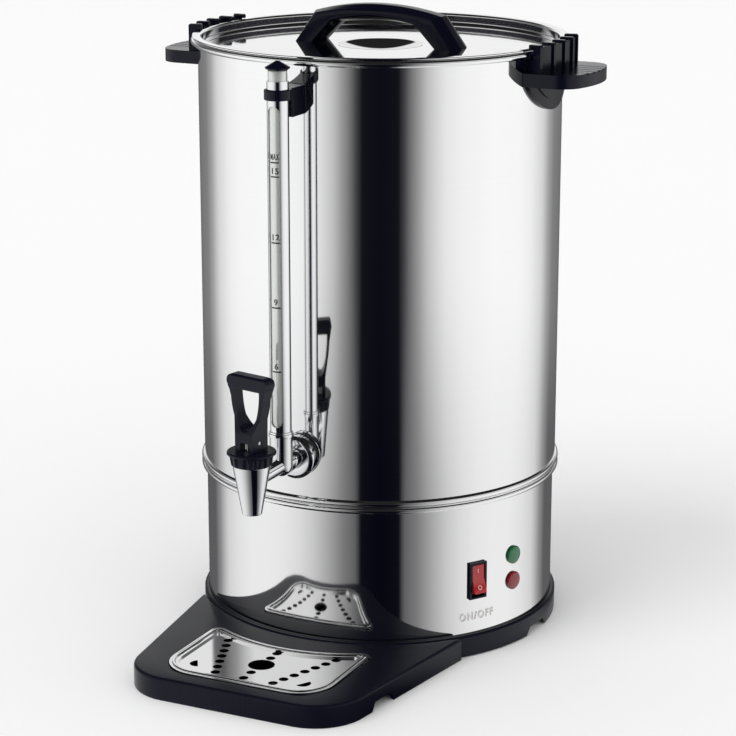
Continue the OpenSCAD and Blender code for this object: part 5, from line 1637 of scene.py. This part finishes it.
@dataclass
class Studio:
    """Floor, light, reflecting surround and camera."""

    eye: tuple[float, float, float] = (0.79811, -1.60968, 0.69898)
    yaw: float = 0.45182
    pitch: float = 0.26589
    lens: float = 117.7
    sensor: float = 36.0
    dim: float = 0.745
    surround_r: float = 5.0
    mirror_r: float = 0.139
    near: Levels = ((0.0, 0.002), (12.5, 0.004), (16.0, 0.12), (24.0, 0.20), (33.0, 0.37), (44.0, 0.59),
                    (54.0, 0.73), (65.0, 0.82), (78.0, 0.86), (94.0, 0.86), (108.0, 0.78), (120.0, 0.66),
                    (132.0, 0.28), (142.0, 0.11), (180.0, 0.10))
    away: Levels = ((0.0, 0.004), (11.5, 0.006), (15.5, 0.06), (20.5, 0.21), (25.0, 0.35), (30.0, 0.55),
                    (36.0, 0.70), (42.0, 0.83), (54.0, 0.92), (76.0, 0.98), (100.0, 0.97), (112.0, 0.89),
                    (126.0, 0.68), (135.0, 0.38), (145.0, 0.22), (165.0, 0.17), (180.0, 0.10))
    band: Levels = ((0.0, 0.015), (135.0, 0.015), (160.0, 0.90))
    boxes: Levels = ((0.0, 0.02), (9.0, 0.03), (18.0, 0.18), (34.0, 0.52), (48.0, 0.72), (92.0, 0.75),
                     (112.0, 0.30), (132.0, 0.10), (152.0, 0.16), (166.0, 0.80))
    crown: float = 0.015
    blue: float = 0.004
    away_r: tuple[float, float] = (0.40, 1.10)
    band_z: tuple[float, float] = (0.45, 0.75)
    boxes_z: tuple[float, float] = (1.19, 1.29)
    crown_z: tuple[float, float] = (2.7, 3.0)
    dome_r: tuple[float, ...] = (0.03, 0.06, 0.12, 0.25, 0.5, 1.0, 1.0, 1.0, 1.0, 1.0, 0.6, 0.0)
    dome_z: tuple[float, ...] = (0.0, 0.0, 0.0, 0.0, 0.0, 0.0, 0.1, 0.3, 0.6, 1.0, 1.2, 1.25)
    dome_gap: float = 0.6
    dome_steps: int = 180
    first_lean: float = 0.6
    rounds: int = 3
    floor_half: float = 9.0
    floor_lines: int = 13
    paper_cloud: float = 3.0
    suns: tuple[tuple[str, float, float, tuple[float, float, float]], ...] = (
        ("key", 0.75, 35.0, (34.0, -22.0, 0.0)), ("fill", 0.4, 80.0, (48.0, 40.0, 0.0)))

    def camera(self) -> None:
        """Places the camera at the photograph's viewing angle."""
        data = bpy.data.cameras.new("view")
        data.lens, data.sensor_width, data.sensor_fit = self.lens, self.sensor, "HORIZONTAL"
        made = bpy.data.objects.new("view", data)
        level = math.cos(self.pitch)
        ahead = Vector((-math.sin(self.yaw) * level, math.cos(self.yaw) * level, -math.sin(self.pitch)))
        right = Vector((math.cos(self.yaw), math.sin(self.yaw), 0.0))
        turn = Matrix((right, right.cross(ahead), -ahead)).transposed()
        made.matrix_world = Matrix.Translation(self.eye) @ turn.to_4x4()
        bpy.context.scene.collection.objects.link(made)
        bpy.context.scene.camera = made

    def world(self) -> None:
        """White to the eye, in metal and through glass; dimmer as light on the object."""
        world = bpy.data.worlds.new("surroundings")
        bpy.context.scene.world = world
        world.use_nodes = True
        graph = Graph(world.node_tree)
        seen = graph.node("ShaderNodeLightPath", output="Is Camera Ray")
        for name in ("Is Glossy Ray", "Is Transmission Ray"):
            seen = seen.over(graph.node("ShaderNodeLightPath", output=name))
        sky = graph.node("ShaderNodeBackground", None, {
            "Color": [1.0, 1.0, 1.0, 1.0], "Strength": seen * (1.0 - self.dim) + self.dim})
        graph.node("ShaderNodeOutputWorld", None, {"Surface": sky})

    def floor(self) -> None:
        """Pale floor that keeps the shadow."""
        line = np.linspace(-self.floor_half, self.floor_half, self.floor_lines) / MM
        x, y = np.meshgrid(line, line, indexing="ij")
        made = Skin("floor").lattice(np.stack([x, y, np.zeros_like(x)], -1)).build(clean=False)
        made.data.materials.append(painted("floor_paper", self.paper))

    def paper(self, graph: Graph) -> Value:
        """Dull, faintly cloudy paper.

        Args:
            graph: The material's graph.

        Returns:
            The surface.
        """
        cloud = graph.noise(graph.place(), self.paper_cloud)
        return graph.node("ShaderNodeBsdfPrincipled", None, {
            "Base Color": graph.tint(cloud, (0.98, 0.98, 0.98), (0.99, 0.99, 0.99)), "Roughness": 0.9,
            "Specular IOR Level": 0.1})

    def surround(self) -> None:
        """Dome that only reflections see.

        P = (r sin a, -r cos a, z) about the tank: r runs out over the floor, z up the wall, and r back in.
        """
        a = np.linspace(-math.pi, math.pi, self.dome_steps + 1)[:, None]
        r, z = (np.array(share) * self.surround_r / MM for share in (self.dome_r, self.dome_z))
        z = np.broadcast_to(z + self.dome_gap, (len(a), len(z)))
        grid = np.stack([r * np.sin(a), -r * np.cos(a), z], -1)
        made = Skin("surround").lattice(grid).build(clean=False)
        made.data.materials.append(painted("surround_light", self.glow))
        made.visible_camera = made.visible_diffuse = made.visible_shadow = made.visible_transmission = False

    def glow(self, graph: Graph) -> Value:
        """Light of the dome: dark behind the eye, pale aside and low at the back.

        A wall of radius R whose normal leans by b from the eye shows the floor point at distance r and
        bearing c in the direction 2 b, where 2 b = c + asin(R sin(b) / r), so its stripes run straight up.

        Args:
            graph: The material's graph.

        Returns:
            The surface.
        """
        ahead = math.atan2(self.eye[0], AXIS_Y * MM - self.eye[1])
        here = graph.node("ShaderNodeTexCoord", output="Object")
        turned = graph.node("ShaderNodeMapping", {"vector_type": "TEXTURE"}, {
            "Vector": here, "Location": [0.0, AXIS_Y * MM, 0.0],
            "Rotation": [0.0, 0.0, ahead - math.pi / 2.0]})
        bearing = graph.node("ShaderNodeTexGradient", {"gradient_type": "RADIAL"}, {"Vector": turned}, "Fac")
        off = graph.node("ShaderNodeMath", {"operation": "ABSOLUTE"}, {0: bearing - 0.5}) * 2.0
        height = graph.node("ShaderNodeSeparateXYZ", None, {0: here}, "Z")
        reach = graph.node("ShaderNodeVectorMath", {"operation": "LENGTH"}, {0: turned}, "Value")
        lean = off * (self.first_lean * math.pi)
        for _ in range(self.rounds):
            lean = (off * math.pi + (self.mirror_r / reach * lean.sine()).arcsine()) * 0.5
        aim = lean * (2.0 / math.pi)
        near, away, band, boxes = (self.ramp(graph, aim, levels)
                                   for levels in (self.near, self.away, self.band, self.boxes))
        colour = graph.tint(graph.rise(reach, *self.away_r), near, away)
        for level, heights in ((band, self.band_z), (boxes, self.boxes_z), ([self.crown] * 3, self.crown_z)):
            colour = graph.tint(graph.rise(height, *heights), colour, level)
        return graph.node("ShaderNodeEmission", None, {"Color": colour, "Strength": 1.0})

    def ramp(self, graph: Graph, aim: Value, levels: Levels) -> Value:
        """A ramp of greys, a little blue.

        Args:
            graph: The material's graph.
            aim: Direction as a share of half a turn.
            levels: Degrees from the eye's direction and the grey at each.

        Returns:
            The colour.
        """
        stops = [(degrees / 180.0, (v, v, v + self.blue, 1.0)) for degrees, v in levels]
        return graph.node("ShaderNodeValToRGB", {"stops": stops}, {0: aim})

    def lamps(self) -> None:
        """Soft sun lamps that light the object evenly and drop a soft shadow."""
        for name, energy, spread, turn in self.suns:
            data = bpy.data.lights.new(name, "SUN")
            data.energy, data.angle = energy, math.radians(spread)
            made = bpy.data.objects.new(name, data)
            made.rotation_euler = [math.radians(t) for t in turn]
            made.visible_glossy = False
            bpy.context.scene.collection.objects.link(made)

    def build(self) -> None:
        """Builds the whole studio."""
        self.camera()
        self.world()
        self.floor()
        self.surround()
        self.lamps()
        bpy.context.scene.view_settings.view_transform = "Standard"


def main() -> None:
    """Builds the urn's pieces in order, then the studio."""
    logging.basicConfig(level=logging.INFO, format="%(message)s")
    paint, plan = Paintbox(frame["record"]), Plan()
    for group in (Tank, Lid, SideHandles, Gauge, Tap, Controls, DripTray, Inside):
        group(paint, plan).build()
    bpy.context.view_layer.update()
    Studio().build()


if __name__ == "__main__":
    main()
